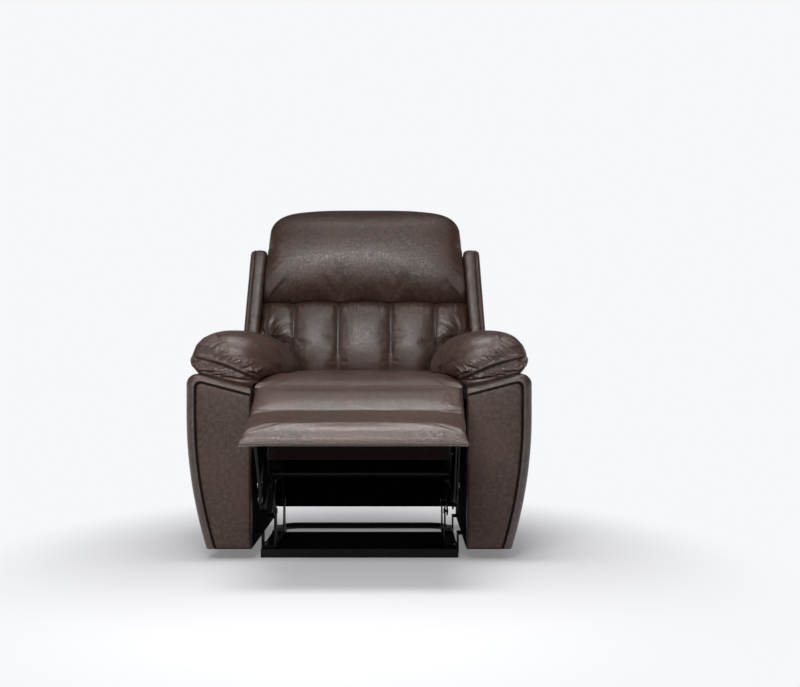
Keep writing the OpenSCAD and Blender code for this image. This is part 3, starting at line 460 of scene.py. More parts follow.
def from_back(points):
    """The other way: a placed point's across, behind and up along the lean."""
    x, y, z = np.moveaxis(points, -1, 0)
    c, s = math.cos(back_lean), math.sin(back_lean)
    y, z = y - back_foot_y, z - back_foot_z
    return stacked(x, y * c - z * s, y * s + z * c)


seam_up, back_top, lean_in, seam_half, widens_at = 0.227, 0.553, 0.0763, 0.330, 0.115


def waves(v, seed, lengths, amount):
    """A gentle irregular wave along v: sines of the given lengths with seeded phases."""
    phase = np.random.default_rng(seed).uniform(0, 2 * np.pi, len(lengths))
    return sum(amount * np.sin(2 * np.pi * v / length + p) for length, p in zip(lengths, phase)) / len(lengths)


channel_edges = (0.084, 0.2265)


def seam_rise(x):
    """How far the seam under the headrest climbs: an arc over each channel, and a cusp at each channel seam."""
    ax = np.abs(x)
    a, b = channel_edges
    place = np.where(ax < a, 0.5 + 0.5 * ax / a,
        np.where(ax < b, (ax - a) / (b - a), 0.5 * (ax - b) / (seam_half - b)))
    return 0.0035 + 0.0055 * np.sin(np.pi * unit(place)) ** 0.8


up = np.concatenate([[0.2285, 0.2315], np.linspace(0.237, 0.406, 23), [0.4075], np.linspace(0.413, 0.5150, 14),
    [0.5170], np.linspace(0.522, 0.5515, 6)])
share = (up - seam_up) / (back_top - seam_up)
shoulder_in, shoulder_up = 0.116, 0.090
past = np.clip(up - (back_top - shoulder_up), 0, None) / shoulder_up
half = seam_half - lean_in * (up - seam_up) - shoulder_in * (1 - np.sqrt(unit(1 - past ** 2)))
front = 0.044 * (1 - share) ** 8 - 0.026 * np.sin(np.pi * share ** 0.85) + 0.070 * share ** 11
rear = np.where(up < 0.4065, 0.1150, np.where(up < 0.5155, 0.1620, 0.1865 - 0.046 * unit((up - 0.5175) / 0.036) ** 5))
across, deep = even_loop(176, 0.58, 0.31, 0.08)
x = (half - 0.005 * soft_step(share, 0.1, 0.5))[:, None] * across
y = np.where(deep < 0, front[:, None] + 0.060 * (1 + deep),
    front[:, None] + 0.060 + deep * (rear - front - 0.060)[:, None])
scallop = unit(1 - (up - seam_up) / 0.05)[:, None] * (deep < 0)
y = y + scallop * 0.006 * np.cos(np.pi * 2.5 * x / half[:, None]) ** 2
z = up[:, None] + seam_rise(x) * unit(1 - (up - seam_up) / 0.06)[:, None] ** 1.5 * soft_step(-deep, -0.3, 0.5)
rings = capped(stacked(x, y, z), 7, (0, 0, -0.002), 7, (0, 0, 0.004))
headrest = grid_piece("headrest", on_back(rings), cushion_leather)
p = from_back(spots(headrest))
held = unit(soft_step(p[:, 1], 0.085, 0.112) + soft_step(-p[:, 2], -0.240, -0.231) + soft_step(p[:, 2], 0.535, 0.55))
stuff(headrest, held, pressure=4.0, slack=0.008, cap=0.009)
finer(headrest)
p, n = spots(headrest), facing(headrest)
q = from_back(p)
qx, qy, qz = q.T
aside = np.abs(qx)
face_on = soft_step(-n[:, 1], 0.25, 0.8)
low = unit(1 - (qz - seam_up) / 0.10)
puckers = waves(qx + 0.25 * (qz - seam_up) * np.sign(qx), 5, [0.031, 0.044, 0.067, 0.023], 0.0013) * low ** 2
corner = soft_step(aside, 0.20, 0.30) * unit(1 - (qz - seam_up) / 0.16)
folds = waves((aside - 0.30) * 0.75 + (qz - 0.23) * 0.75, 9, [0.019, 0.028, 0.043], 0.0026) * corner
roll = 0.0016 * np.sin(qx * 9 + 2) * np.sin(qz * 17)
put(headrest, p + n * ((puckers + folds + roll) * face_on)[:, None])
rim = qz - (back_top - 0.012 - 0.3 * np.clip(aside - 0.19, 0, None) ** 1.2)
mark(headrest, "sewn", near_seam(rim) * (qy < 0.10) * (aside < 0.235))
mark(headrest, "along", qx)
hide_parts("headrest_cushion")
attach(headrest, "back")

# Lumbar cushion.
# One padded panel quilted into five upright channels by twin rows of stitching, drawn in under
# the headrest at the top and down behind the seat, and narrow where it goes between the arms.
foot, narrow_half, widen_run = -0.085, 0.285, 0.034
up = np.concatenate([np.linspace(foot, 0.19, 34), np.linspace(0.197, 0.2265, 7)])
half = np.where(up > widens_at, seam_half - lean_in * (up - seam_up),
    narrow_half + 0.05355 * np.clip((up - widens_at + widen_run) / widen_run, 0, None) ** 2)
half = np.minimum(half, seam_half - lean_in * (up - seam_up))
rise = (up - foot) / (0.226 - foot)
draw = 0.034 * rise ** 14 + 0.030 * (1 - rise) ** 12 + 0.066 * unit((0.080 - up) / 0.165) ** 1.4
across, deep = even_loop(200, 0.36, 0.32, 0.055)
x = half[:, None] * across
outer = channel_edges[1]
ax = np.abs(x)
t = np.where(ax < channel_edges[0], ax / channel_edges[0],
    np.where(ax < outer, np.abs(2 * (ax - channel_edges[0]) / (outer - channel_edges[0]) - 1),
    unit(1 - (ax - outer) / (half[:, None] - outer))))
swell = draw[:, None] + 0.010 * t ** 2.6 + 0.026 * (ax / half[:, None]) ** 8
back_face = 0.115
y = np.where(deep < 0, (swell + back_face) / 2 + deep * (back_face - swell) / 2,
    (draw[:, None] + 0.06 + back_face) / 2 + deep * (back_face - draw[:, None] - 0.06) / 2)
z = up[:, None] + seam_rise(x) * soft_step(up, 0.150, 0.226)[:, None] * soft_step(-deep, -0.3, 0.5)
rings = capped(stacked(x, y, z), 5, (0, 0, -0.003), 5, (0, 0, 0.0))
lumbar_leather = leather("lumbar_leather", *soft_tones, twin=3.4)
lumbar = grid_piece("lumbar", on_back(rings), lumbar_leather)


def to_channel_seam(x):
    """How far a place across the chair lies from the nearest seam between two channels."""
    a = np.abs(x)
    return np.minimum(np.abs(a - channel_edges[0]), np.abs(a - channel_edges[1]))


q = from_back(spots(lumbar))
qx, qy, qz = q.T
held = unit(soft_step(qy, 0.085, 0.108) + soft_step(qz, 0.206, 0.220) + soft_step(-qz, 0.05, 0.07)
    + (1 - soft_step(to_channel_seam(qx), 0.006, 0.012)) * (qy < 0.06))
stuff(lumbar, held, pressure=4.0, slack=0.014, cap=0.007)
finer(lumbar)
p, n = spots(lumbar), facing(lumbar)
q = from_back(p)
qx, qy, qz = q.T
aside = np.abs(qx)
gap = to_channel_seam(qx)
face_on = soft_step(-n[:, 1], 0.2, 0.7)
seam_foot = np.where(aside < 0.15, 0.058, 0.080)
sewn_here = soft_step(qz, seam_foot - 0.012, seam_foot + 0.004)
valley = (-0.0016 * np.exp(-(gap / 0.008) ** 2) * sewn_here
    - 0.0016 * np.exp(-((gap - 0.0034) / 0.0014) ** 2) * sewn_here)
ripple = waves(qz + 0.4 * gap, 21, [0.021, 0.034, 0.055], 0.0010) * np.exp(-((gap - 0.018) / 0.012) ** 2)
top_pull = waves(qx, 13, [0.018, 0.029, 0.045], 0.0018) * soft_step(qz, 0.180, 0.225)
side = soft_step(aside, 0.225, 0.285)
fan = np.arctan2(qz - 0.085, 0.315 - aside)
spread = np.hypot(qz - 0.085, 0.315 - aside)
tug = (waves(fan + 3 * spread, 17, [0.30, 0.43, 0.22], 0.0060) * side * soft_step(spread, 0.015, 0.05)
    * soft_step(-spread, -0.12, -0.06) * soft_step(qz, 0.03, 0.09))
beside = unit(1 - ((0.368 - aside) / 0.163) ** 2) ** 0.5 * 0.119
tug -= 0.018 * soft_step(beside + 0.050 - qz, 0.0, 0.065) * soft_step(aside, 0.165, 0.235)
put(lumbar, p + n * ((valley + ripple + top_pull + tug) * face_on)[:, None])
mark(lumbar, "sewn", near_seam(gap) * (face_on > 0.1) * sewn_here)
mark(lumbar, "along", qz)
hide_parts("lumbar_cushion")
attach(lumbar, "back")

# Seat cushion.
# A crowned foam cushion whose front rolls over the seat rail in one soft nose; its sides and rear
# are drawn in between the arms and under the back.
nose_reach, seat_top, seat_low, nose_under = 0.034, 0.514, 0.3544, 0.4745
nose_turn = np.linspace(0.0, 1.0, 9)
reach = np.concatenate([0.0055 + 0.0283 * np.cos(np.pi / 2 * nose_turn), -np.linspace(0.006, 0.531, 58),
    [-0.542, -0.552, -0.5585]])
top = seat_top - 0.031 * (np.clip(reach + 0.150, 0, None) / 0.184) ** 4
bottom = np.where(reach > 0.0053, nose_under, seat_low)
closing = np.sqrt(unit(1 - (np.clip(reach - 0.027, 0, None) / 0.0072) ** 2))
top, bottom = (top + bottom) / 2 + (top - bottom) / 2 * closing, (top + bottom) / 2 - (top - bottom) / 2 * closing
rear_round = soft_step(-reach, 0.531, 0.559)
top, bottom = top - 0.024 * rear_round ** 2, bottom + 0.014 * rear_round ** 2
half = (0.290 - 0.004 * soft_step(reach, 0.0, 0.006) - 0.001 * (np.clip(reach, 0, None) / nose_reach) ** 3
    - 0.014 * rear_round)
across, high = even_loop(168, 0.22, 0.29, 0.075)
x = half[:, None] * across
mid = (top + bottom)[:, None] / 2
crown = 0.007 * np.abs(across) ** 6 * unit((top - bottom) / 0.06)[:, None]
z = mid + high * (top - bottom)[:, None] / 2 - np.clip(high, 0, None) * crown
z = z - 0.003 * soft_step(reach, 0.0, 0.030)[:, None] * unit(1 - across ** 2)
x = x * (1 - 0.055 * soft_step(reach, -0.02, 0.012)[:, None] * unit((z - 0.478) / 0.034) ** 1.2)
rings = capped(stacked(x, (arm_front - reach)[:, None], z), 2, (0, -0.0004, 0), 7, (0, 0.001, 0))
seat = grid_piece("seat_cushion_cover", rings, cushion_leather)
p = spots(seat)
held = unit(soft_step(-p[:, 2], -0.372, -0.358) + soft_step(np.abs(p[:, 0]), 0.2835, 0.2885)
    + soft_step(p[:, 1], arm_front + 0.506, arm_front + 0.546)
    + soft_step(-p[:, 1], -arm_front - 0.008, -arm_front + 0.012) * soft_step(-p[:, 2], -0.486, -0.480))
stuff(seat, held, pressure=3.0, slack=0.003, cap=0.003)
finer(seat)
p, n = spots(seat), facing(seat)
on_top = soft_step(n[:, 2], 0.3, 0.9)
depth = p[:, 1] - arm_front
sag = -0.004 * np.exp(-((depth - 0.27) / 0.13) ** 2) * np.exp(-(p[:, 0] / 0.19) ** 4)
fine = waves(p[:, 0] * 0.9 + depth * 0.3, 31, [0.11, 0.17, 0.26], 0.0010) + waves(depth, 33, [0.12, 0.19], 0.0008)
put(seat, p + n * ((sag + fine * soft_step(depth, 0.0, 0.05)) * on_top)[:, None])
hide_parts("seat_cushion")
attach(seat, "seat")

# Footrest pad and calf pad.
# Two leather-covered pads on plywood boards: the front one rolls over its board's edge and comes
# to sharp lower corners, the rear one folds on hinges and tucks under the seat's nose.
board_pitch, flap_pitch = math.radians(5.5), math.radians(20.5)


def on_board(points):
    """Places points given across, behind the board's rear edge, and square up from its middle."""
    return placed(points, board_pitch, arm_front - 0.170, 0.380)


def on_flap(points):
    """Places points given across, behind the flap's hinge, and square up from the flap."""
    return placed(points, flap_pitch, arm_front - 0.16634, 0.37332)


pad_half, pad_thick, lip_under, roll_from, roll_run = 0.286, 0.039, -0.006, 0.224, 0.052
loop_x, loop_z = even_loop(168, 0.30, 0.285, 0.02)
along = np.concatenate([-roll_from - roll_run * np.cos(np.pi / 2 * np.linspace(0.03, 1, 18)),
    np.linspace(-0.218, -0.010, 30), [-0.0065, -0.0040, -0.0022]])
low = np.where(along < -0.2616, lip_under, 0.0054)
turn = unit((-along - roll_from) / roll_run)
high = lip_under + (0.0114 + pad_thick) * (1 - turn ** 2.1) ** (1 / 2.1)
high -= 0.0035 * soft_step(along, -0.014, -0.001)
x = (pad_half - 0.0015 - 0.0025 * soft_step(along, -0.10, 0.0))[:, None] * loop_x
mid = (low + high)[:, None] / 2
z = mid + loop_z * (high - low)[:, None] / 2 - 0.005 * np.clip(loop_z, 0, None) * np.abs(loop_x) ** 6
taper = 0.016 + 0.044 * soft_step(-along, 0.10, 0.25)
x = x * (1 - taper[:, None] * unit((z - lip_under) / 0.050) ** 1.15)
rings = capped(stacked(x, along[:, None], z), 4, (0, -0.001, 0), 4, (0, 0.0002, 0))
footrest = grid_piece("footrest_pad_cover", on_board(rings), cushion_leather)
p = spots(footrest)
top_side = facing(footrest)[:, 2]
held = (1 - soft_step(top_side, 0.1, 0.5) * soft_step(-np.abs(p[:, 0]), -0.275, -0.255)
    * soft_step(-(p[:, 1] - arm_front), 0.176, 0.19))
stuff(footrest, held, pressure=3.0, slack=0.002, cap=0.002)
finer(footrest)
p, n = spots(footrest), facing(footrest)
fine = waves(p[:, 0], 41, [0.09, 0.14, 0.22], 0.0008) + waves(p[:, 0] * 0.3 + p[:, 1], 43, [0.09, 0.16], 0.0005)
put(footrest, p + n * (fine * soft_step(n[:, 2], 0.2, 0.8))[:, None])
mark(footrest, "sewn", near_seam(p[:, 2] - 0.3505) * (p[:, 1] < arm_front - 0.43) * (n[:, 1] < -0.3))
mark(footrest, "along", p[:, 0])
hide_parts("footrest_pad")
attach(footrest, "footrest")

flap_from, flap_face, flap_len = 0.0075, 0.0104, 0.1425
along = np.concatenate([[0.0075, 0.0083, 0.0100, 0.0128], np.linspace(0.016, 0.146, 20), [0.1485, 0.1500]])
roll_in = unit((along - flap_from) / 0.044)
high = flap_face + pad_thick + 0.001 - 0.016 * (1 - roll_in) ** 2 + 0.014 * soft_step(along, 0.010, 0.190)
high = high - 0.003 * soft_step(along, 0.146, 0.150)
half = pad_half - 0.001 * soft_step(along, 0.03, 0.15)
x = half[:, None] * loop_x * (1 - 0.016 * unit((loop_z + 0.6) / 1.6) ** 1.4)
z = ((flap_face + high)[:, None] / 2 + loop_z * (high - flap_face)[:, None] / 2
    - 0.004 * np.clip(loop_z, 0, None) * np.abs(loop_x) ** 8)
z = z - 0.003 * soft_step(along, 0.09, 0.14)[:, None] * unit(1 - loop_x ** 2) * (loop_z > 0)
slope = 0.34 * ((along - flap_from) / flap_len) ** 2
y = along[:, None] + slope[:, None] * (z - flap_face)
rings = capped(stacked(x, y, z), 4, (0, -0.0004, 0), 4, (0, 0.0010, 0))
calf = grid_piece("calf_pad_cover", on_flap(rings), cushion_leather)
p = spots(calf)
depth = p[:, 1] - arm_front
held = (1 - soft_step(facing(calf)[:, 2], 0.1, 0.5) * soft_step(-np.abs(p[:, 0]), -0.272, -0.25)
    * soft_step(-depth, 0.045, 0.06) * soft_step(depth, -0.165, -0.15))
stuff(calf, held, pressure=3.0, slack=0.003, cap=0.003)
finer(calf)
p, n = spots(calf), facing(calf)
depth = p[:, 1] - arm_front
fine = waves(p[:, 0], 51, [0.09, 0.15, 0.23], 0.0008) * soft_step(n[:, 2], 0.2, 0.8)
droop = (-0.0007 * np.exp(-((depth + 0.052 + 0.018 * np.cos(np.pi * p[:, 0] / 0.56)) / 0.005) ** 2)
    * soft_step(-np.abs(p[:, 0]), -0.24, -0.12))
put(calf, p + n * (fine + droop * (n[:, 2] > 0.5))[:, None])
# painted shade: the seam where the calf pad meets the footrest is marked so its groove is painted near black,
# standing for the shade in the crevice
mark(calf, "sewn", near_seam(p[:, 2] - 0.4225) * (depth < -0.10) * (depth > -0.17))
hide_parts("calf_pad")
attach(calf, "calf_flap")

# Arm covers, front panels and piping.
# Each arm is a plywood box in padded leather. Its front edge is a fat roll; inside the roll a flat
# padded panel is set back behind a deep line with thin piping in it; the line's walls and the piping are
# painted near black, as painted shade in the line.
arm_out, arm_in, arm_len, arm_clear = 0.480, 0.298, 0.830, 0.030
arm_top, belly, tuck, fall = 0.516, 0.400, 0.056, 0.26
# painted shade: the front panels take a darker copy of the same leather, standing for the shade on the upright faces
face_leather_shaded = leather("face_leather_shaded", (0.0430, 0.0240, 0.0180, 1), (0.0870, 0.0530, 0.0415, 1),
    (0.0910, 0.0465, 0.0350, 1), rough=0.43, shine=0.35)


def black_cloth(name):
    """Matt black cloth with a fine random nap, put where the chair is in shade underneath: painted shade."""
    m, t, at = blank_material(name)
    nap = wired(t, "ShaderNodeTexNoise", Vector=at, Scale=900.0, Detail=3.0)
    tone = mixed(t, nap.outputs[0], (0.0030, 0.0030, 0.0032, 1), (0.0075, 0.0072, 0.0075, 1))
    return coat(m, tone, 0.95, nap.outputs[0], 0.5, 0.0004, spec=0.1)


# painted shade: black cloth that stands for the shade under the seat
shade_cloth = black_cloth("black_shade_cloth")
# painted shade: a near-black copy of the leather for the piping in the arms' deep lines and the board under the
# seat's nose, standing for the shade there
near_black_shade_leather = leather("near_black_shade_leather", (0.0070, 0.0030, 0.0018, 1), (0.0140, 0.0066, 0.0042, 1),
    (0.0150, 0.0060, 0.0038, 1), rough=0.60, shine=0.12)


def even_path(points, count):
    """A closed line, given with its first point again at its end, as evenly spaced points."""
    s = np.concatenate([[0], np.cumsum(np.linalg.norm(np.diff(points, axis=0), axis=1))])
    t = np.linspace(0, s[-1], count + 1)[:-1]
    return np.stack([np.interp(t, s, points[:, i]) for i in (0, 1)], 1)


arm_points = 220


def arm_section(inset, edge, count=arm_points):
    """The arm's outline from the front, evenly spaced: an outer side that tucks in below its belly, a
    round upper corner, and a top that falls towards the seat. Inset moves the outer side and the top."""
    r = 0.030 - 0.62 * inset
    side_inset = 1.14 * inset
    cx, cz, low, tilt = arm_out - side_inset - r, arm_top - inset - r, arm_clear + edge, math.atan(fall)
    zs = np.linspace(low, belly, 60)
    side = arm_out - tuck * (np.clip(belly - zs, 0, None) / (belly - arm_clear)) ** 2 - side_inset
    a = np.linspace(0, np.pi / 2 + tilt, 24)
    inner = np.array([[arm_in + edge, cz + r / math.cos(tilt) - (cx - arm_in - edge) * fall]])
    pts = np.concatenate([[[arm_in + edge, low]], np.stack([side, zs], 1),
        np.stack([cx + r * np.cos(a), cz + r * np.sin(a)], 1), inner, [[arm_in + edge, low]]])
    return even_path(pts, count)


def arm_ceiling(depth):
    """How high the arm may be at a depth: level under the pillow, then falling to a round rear corner."""
    falls_from, rear_top, radius = 0.575, 0.450, 0.032
    turns_at = arm_len - radius
    slope = arm_top - (depth - falls_from) * (arm_top - rear_top) / (turns_at - falls_from)
    corner = 0.418 + np.sqrt(np.clip(radius ** 2 - np.clip(depth - turns_at, 0, radius) ** 2, 0, None))
    return np.where(depth < falls_from, arm_top + 0.02, np.where(depth < turns_at, slope, corner))


turn = np.linspace(0, 1, 10)
front_inset = np.concatenate([[0.0222, 0.0222, 0.0216, 0.0200], 0.0185 * (1 - np.sin(np.pi / 2 * turn))])
front_depth = np.concatenate([[0.0080, 0.0035, 0.0015, 0.0003], 0.024 * (1 - np.cos(np.pi / 2 * turn ** 0.85))])
front_edge = np.concatenate([[0.0026, 0.0026, 0.0025, 0.0024], 0.0022 * (1 - turn) ** 2])
depths = np.concatenate([front_depth, np.linspace(0.027, 0.806, 128), [0.812, 0.818, 0.823, 0.8268, 0.8292, 0.8300]])
insets = np.concatenate([front_inset, np.zeros(129), [0.0006, 0.0018, 0.0040, 0.0075, 0.0120]])
edges = np.concatenate([front_edge, np.zeros(129), [0.0006, 0.0018, 0.0040, 0.0075, 0.0120]])
section = np.stack([arm_section(i, e) for i, e in zip(insets, edges)])
ceiling = arm_ceiling(depths)[:, None] - insets[:, None]
over = section[..., 1]
softened = np.where(depths[:, None] > 0.5, -0.006 * np.logaddexp(-over / 0.006, -ceiling / 0.006), over)
shape = stacked(section[..., 0], (arm_front + depths)[:, None], softened)


def flipped(points, side):
    """The same points on the right (side 1) or the left (side -1)."""
    out = np.array(points, float)
    out[..., 0] *= side
    return out


def pipe(name, path, radius, material):
    """A round cord along a path: at each point a circle square to the path, with closed ends."""
    path, sides = np.asarray(path, float), 10
    ahead = np.roll(path, -1, 0) - np.roll(path, 1, 0)
    ahead[0], ahead[-1] = path[1] - path[0], path[-1] - path[-2]
    ahead /= np.linalg.norm(ahead, axis=1, keepdims=True)
    ref = np.where(np.abs(ahead[:, 1:2]) < 0.9, [[0.0, 1.0, 0.0]], [[1.0, 0.0, 0.0]])
    u = np.cross(ahead, ref)
    u /= np.linalg.norm(u, axis=1, keepdims=True)
    v = np.cross(ahead, u)
    a = np.linspace(0, 2 * np.pi, sides + 1)[:-1]
    rings = path[:, None] + radius * (np.cos(a)[None, :, None] * u[:, None] + np.sin(a)[None, :, None] * v[:, None])
    ends = [np.broadcast_to(path[i], rings[0].shape)[None] for i in (0, -1)]
    rings = np.concatenate([ends[0], rings, ends[1]])
    return grid_piece(name, rings, material)


# painted highlight: the arm covers take a lighter copy of the same leather, with more gloss, so that the top roll
# looks more lit
roll_leather_lit = leather("roll_leather_lit", (0.0440, 0.0245, 0.0185, 1), (0.0900, 0.0545, 0.0430, 1),
    (0.0940, 0.0480, 0.0370, 1), rough=0.33, shine=0.75)
pan_y, pan_half_y, pan_z, pan_half_z = arm_front + 0.190, 0.0625, 0.330, 0.0395
for side, word in ((-1, "left"), (1, "right")):
    cover = grid_piece("arm_cover_" + word, flipped(shape, side), roll_leather_lit, merge=False)
    bm = bmesh.new()
    bm.from_mesh(cover.data)
    rear_loop = [v for v in bm.verts if v.index >= shape.shape[0] * shape.shape[1] - shape.shape[1]]
    bmesh.ops.contextual_create(bm, geom=rear_loop)
    bmesh.ops.recalc_face_normals(bm, faces=bm.faces)
    if side < 0:
        # the opening for the release handle's pan
        middles = [(f, f.calc_center_median()) for f in bm.faces]
        inside = [f for f, m in middles if m.x < -0.40 and abs(m.y - pan_y) < pan_half_y
            and abs(m.z - pan_z) < pan_half_z]
        bmesh.ops.delete(bm, geom=inside, context="FACES")
    if sum(f.normal.x * f.calc_center_median().x for f in bm.faces if abs(f.normal.x) > 0.9
        and abs(f.calc_center_median().x) > 0.45) < 0:
        bmesh.ops.reverse_faces(bm, faces=bm.faces)
    bm.to_mesh(cover.data)
    bm.free()
    smooth(cover.data)
    p, n = spots(cover), facing(cover)
    depth = p[:, 1] - arm_front
    wide = (waves(p[:, 2] + 0.2 * depth, 61 + side, [0.12, 0.19, 0.31], 0.0022) * soft_step(depth, 0.03, 0.08)
        * soft_step(-depth, -0.80, -0.74))
    put(cover, p + n * (wide * (np.abs(p[:, 0]) > 0.40) * soft_step(-p[:, 2], -0.47, -0.40))[:, None])
    # painted shade: the arm's inner faces below the seat are made black cloth, standing for the shade there
    cover.data.materials.append(shade_cloth)
    fx, fy, fz = triples(cover.data.polygons, "center").T
    shaded_inner_faces = (np.abs(fx) < arm_in + 0.0005) & (fy > arm_front + 0.030) & (fz < 0.440)
    cover.data.polygons.foreach_set("material_index", shaded_inner_faces.astype(np.int32))
    # painted shade: the roll's first rings, the inner lip that turns into the deep line, are marked as a seam so the
    # leather paints them near black
    mark(cover, "sewn", (np.arange(len(p)) < 4 * arm_points).astype(float))
    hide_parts("arm_shell_" + word)
    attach(cover, "base")

    rim = arm_section(0.0262, 0.0032, 240)
    centre = np.array([0.5 * (arm_in + 0.0032) + 0.5 * 0.44, 0.27])
    k = np.concatenate([[1.0, 1.0], 1 - np.array([0.0, 0.006, 0.016, 0.032, 0.06, 0.10, 0.18, 0.30, 0.45, 0.62, 0.80,
        0.999])])
    y = np.concatenate([[0.0078, 0.0050], [0.0030, 0.0010, -0.0004, -0.0013, -0.0020, -0.0026, -0.0034, -0.0042,
        -0.0049, -0.0054, -0.0056, -0.0056]])
    flat = centre + (rim[None] - centre) * k[:, None, None]
    pts = stacked(flat[..., 0], (arm_front + y)[:, None], flat[..., 1])
    back_ring = np.broadcast_to(np.array([centre[0], arm_front + 0.0078, centre[1]]), pts[0].shape)[None]
    pts = np.concatenate([back_ring, pts])
    pts[..., 1] += waves(pts[..., 2] + 0.3 * pts[..., 0], 71, [0.11, 0.17, 0.26], 0.0010) * (pts[..., 1] < arm_front)
    panel = grid_piece("arm_front_panel_" + word, flipped(pts, side), face_leather_shaded)
    # painted shade: the panel's sunk rim inside the deep line is marked as a seam so the leather paints it near black
    mark(panel, "sewn", unit((spots(panel)[:, 1] - arm_front) / 0.0012))
    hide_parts("arm_face_" + word)
    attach(panel, "base")

    line = arm_section(0.0242, 0.0030, 900)
    line = line[(line[:, 0] >= arm_in + 0.0034) & (line[:, 1] >= arm_clear + 0.0034)]
    path = stacked(side * line[:, 0], arm_front + 0.0042, line[:, 1])[::3]
    # the piping is in the near-black leather: painted shade in the deep line
    piping = pipe("arm_piping_" + word, path, 0.0016, near_black_shade_leather)
    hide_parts("arm_welt_" + word)
    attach(piping, "base")

# Arm pillows.
# A soft sewn pad over each arm: crowned, with a thin lip over the seat side. Its front end is closed
# by a slanting seam, and the leather is gathered towards that seam's inner end.
pillow_len, pillow_front, pillow_top, pillow_tip, tip_z = 0.548, 0.022, 0.632, 0.205, 0.515
high_x, side_z = arm_out - 0.112, arm_top + 0.055
seam_in, seam_run, seam_low, seam_climb, seam_bow = 0.301, 0.143, 0.511, 0.052, 0.006


def top_of_arm(x):
    """The arm's top surface over a place across the chair."""
    return arm_top - 0.030 + 0.030 / math.cos(math.atan(fall)) - np.clip(arm_out - 0.030 - x, 0, None) * fall


def pillow_ring(k, count):
    """The pillow's outline seen from the front at fullness k, evenly spaced from its outer foot over the
    crown to the inner tip and back along the arm."""
    tip = high_x - (high_x - pillow_tip) * (0.72 + 0.28 * k)
    out = (arm_out - 0.003 - high_x) * (0.85 + 0.15 * k)
    low = arm_top + 0.005
    crown, side_at, lip = (pillow_top - side_z) * k, low + (side_z - low) * k, tip_z + 0.003
    a = np.linspace(0, np.pi / 2, 40)
    pts = np.concatenate([[[high_x + out - 0.022, low - 0.004], [high_x + out - 0.012, low + 0.008],
        [high_x + out - 0.004, (low + side_at) / 2 + 0.006]],
        np.stack([high_x + out * np.cos(a), side_at + crown * np.sin(a)], 1),
        np.stack([high_x - (high_x - tip) * np.sin(a[1:]), lip + (side_at + crown - lip) * np.cos(a[1:])], 1),
        [[tip + 0.003, tip_z + 0.0005], [tip + 0.012, tip_z - 0.001], [tip + 0.045, tip_z - 0.009],
        [arm_in - 0.017, tip_z - 0.020], [arm_in - 0.004, tip_z - 0.026],
        [arm_in + 0.001, top_of_arm(arm_in) + 0.001],
        [arm_out - 0.036, top_of_arm(arm_out - 0.036) + 0.001], [high_x + out - 0.022, low - 0.004]]])
    return even_path(pts, count)


s = np.concatenate([(1 - np.cos(np.linspace(0, np.pi / 2, 22))) * 0.10, np.linspace(0.116, 0.90, 42),
    1 - (1 - np.cos(np.linspace(np.pi / 2, 0, 9)))[1:] * 0.09])
fullness = 0.36 + 0.64 * np.sqrt(unit(1 - np.abs(2 * s - 1) ** 7))
rings2 = np.stack([pillow_ring(k, 236) for k in fullness])
pillow_shape = stacked(rings2[..., 0], (arm_front + pillow_front + s * pillow_len)[:, None], rings2[..., 1])
fall_back = unit((0.345 - pillow_shape[..., 0]) / 0.140) ** 1.9 * (1 - soft_step(s, 0.25, 0.80))[:, None]
pillow_shape[..., 1] += 0.120 * fall_back


def closed_flat(ring, steps, y_move):
    """Rings that close a pillow's end on the line from its outer side to its inner tip, in a shallow dome."""
    shift = int(np.argmin(ring[:, 0])) - len(ring) // 2
    return np.roll(drawn_in(np.roll(ring, -shift, 0), steps, (0, y_move, 0)), shift, 1)


def creases(u, v, starts, angles, lengths, widths, heights):
    """Sums raised folds: each runs from its start at its angle for its length, is widest in the middle,
    and has a shallow valley along its lower side."""
    total = np.zeros(len(u))
    for (su, sv), angle, length, width, height in zip(starts, angles, lengths, widths, heights):
        du, dv = u - su, v - sv
        run = du * math.cos(angle) + dv * math.sin(angle)
        body = unit(run / length)
        off = dv * math.cos(angle) - du * math.sin(angle) - 0.10 * run * body
        body = np.sin(np.pi * body ** 0.75) ** 0.8 * ((run > 0) & (run < length))
        total += height * body * (np.exp(-(off / width) ** 2) - 0.55 * np.exp(-((off + 1.9 * width) / width) ** 2))
    return total


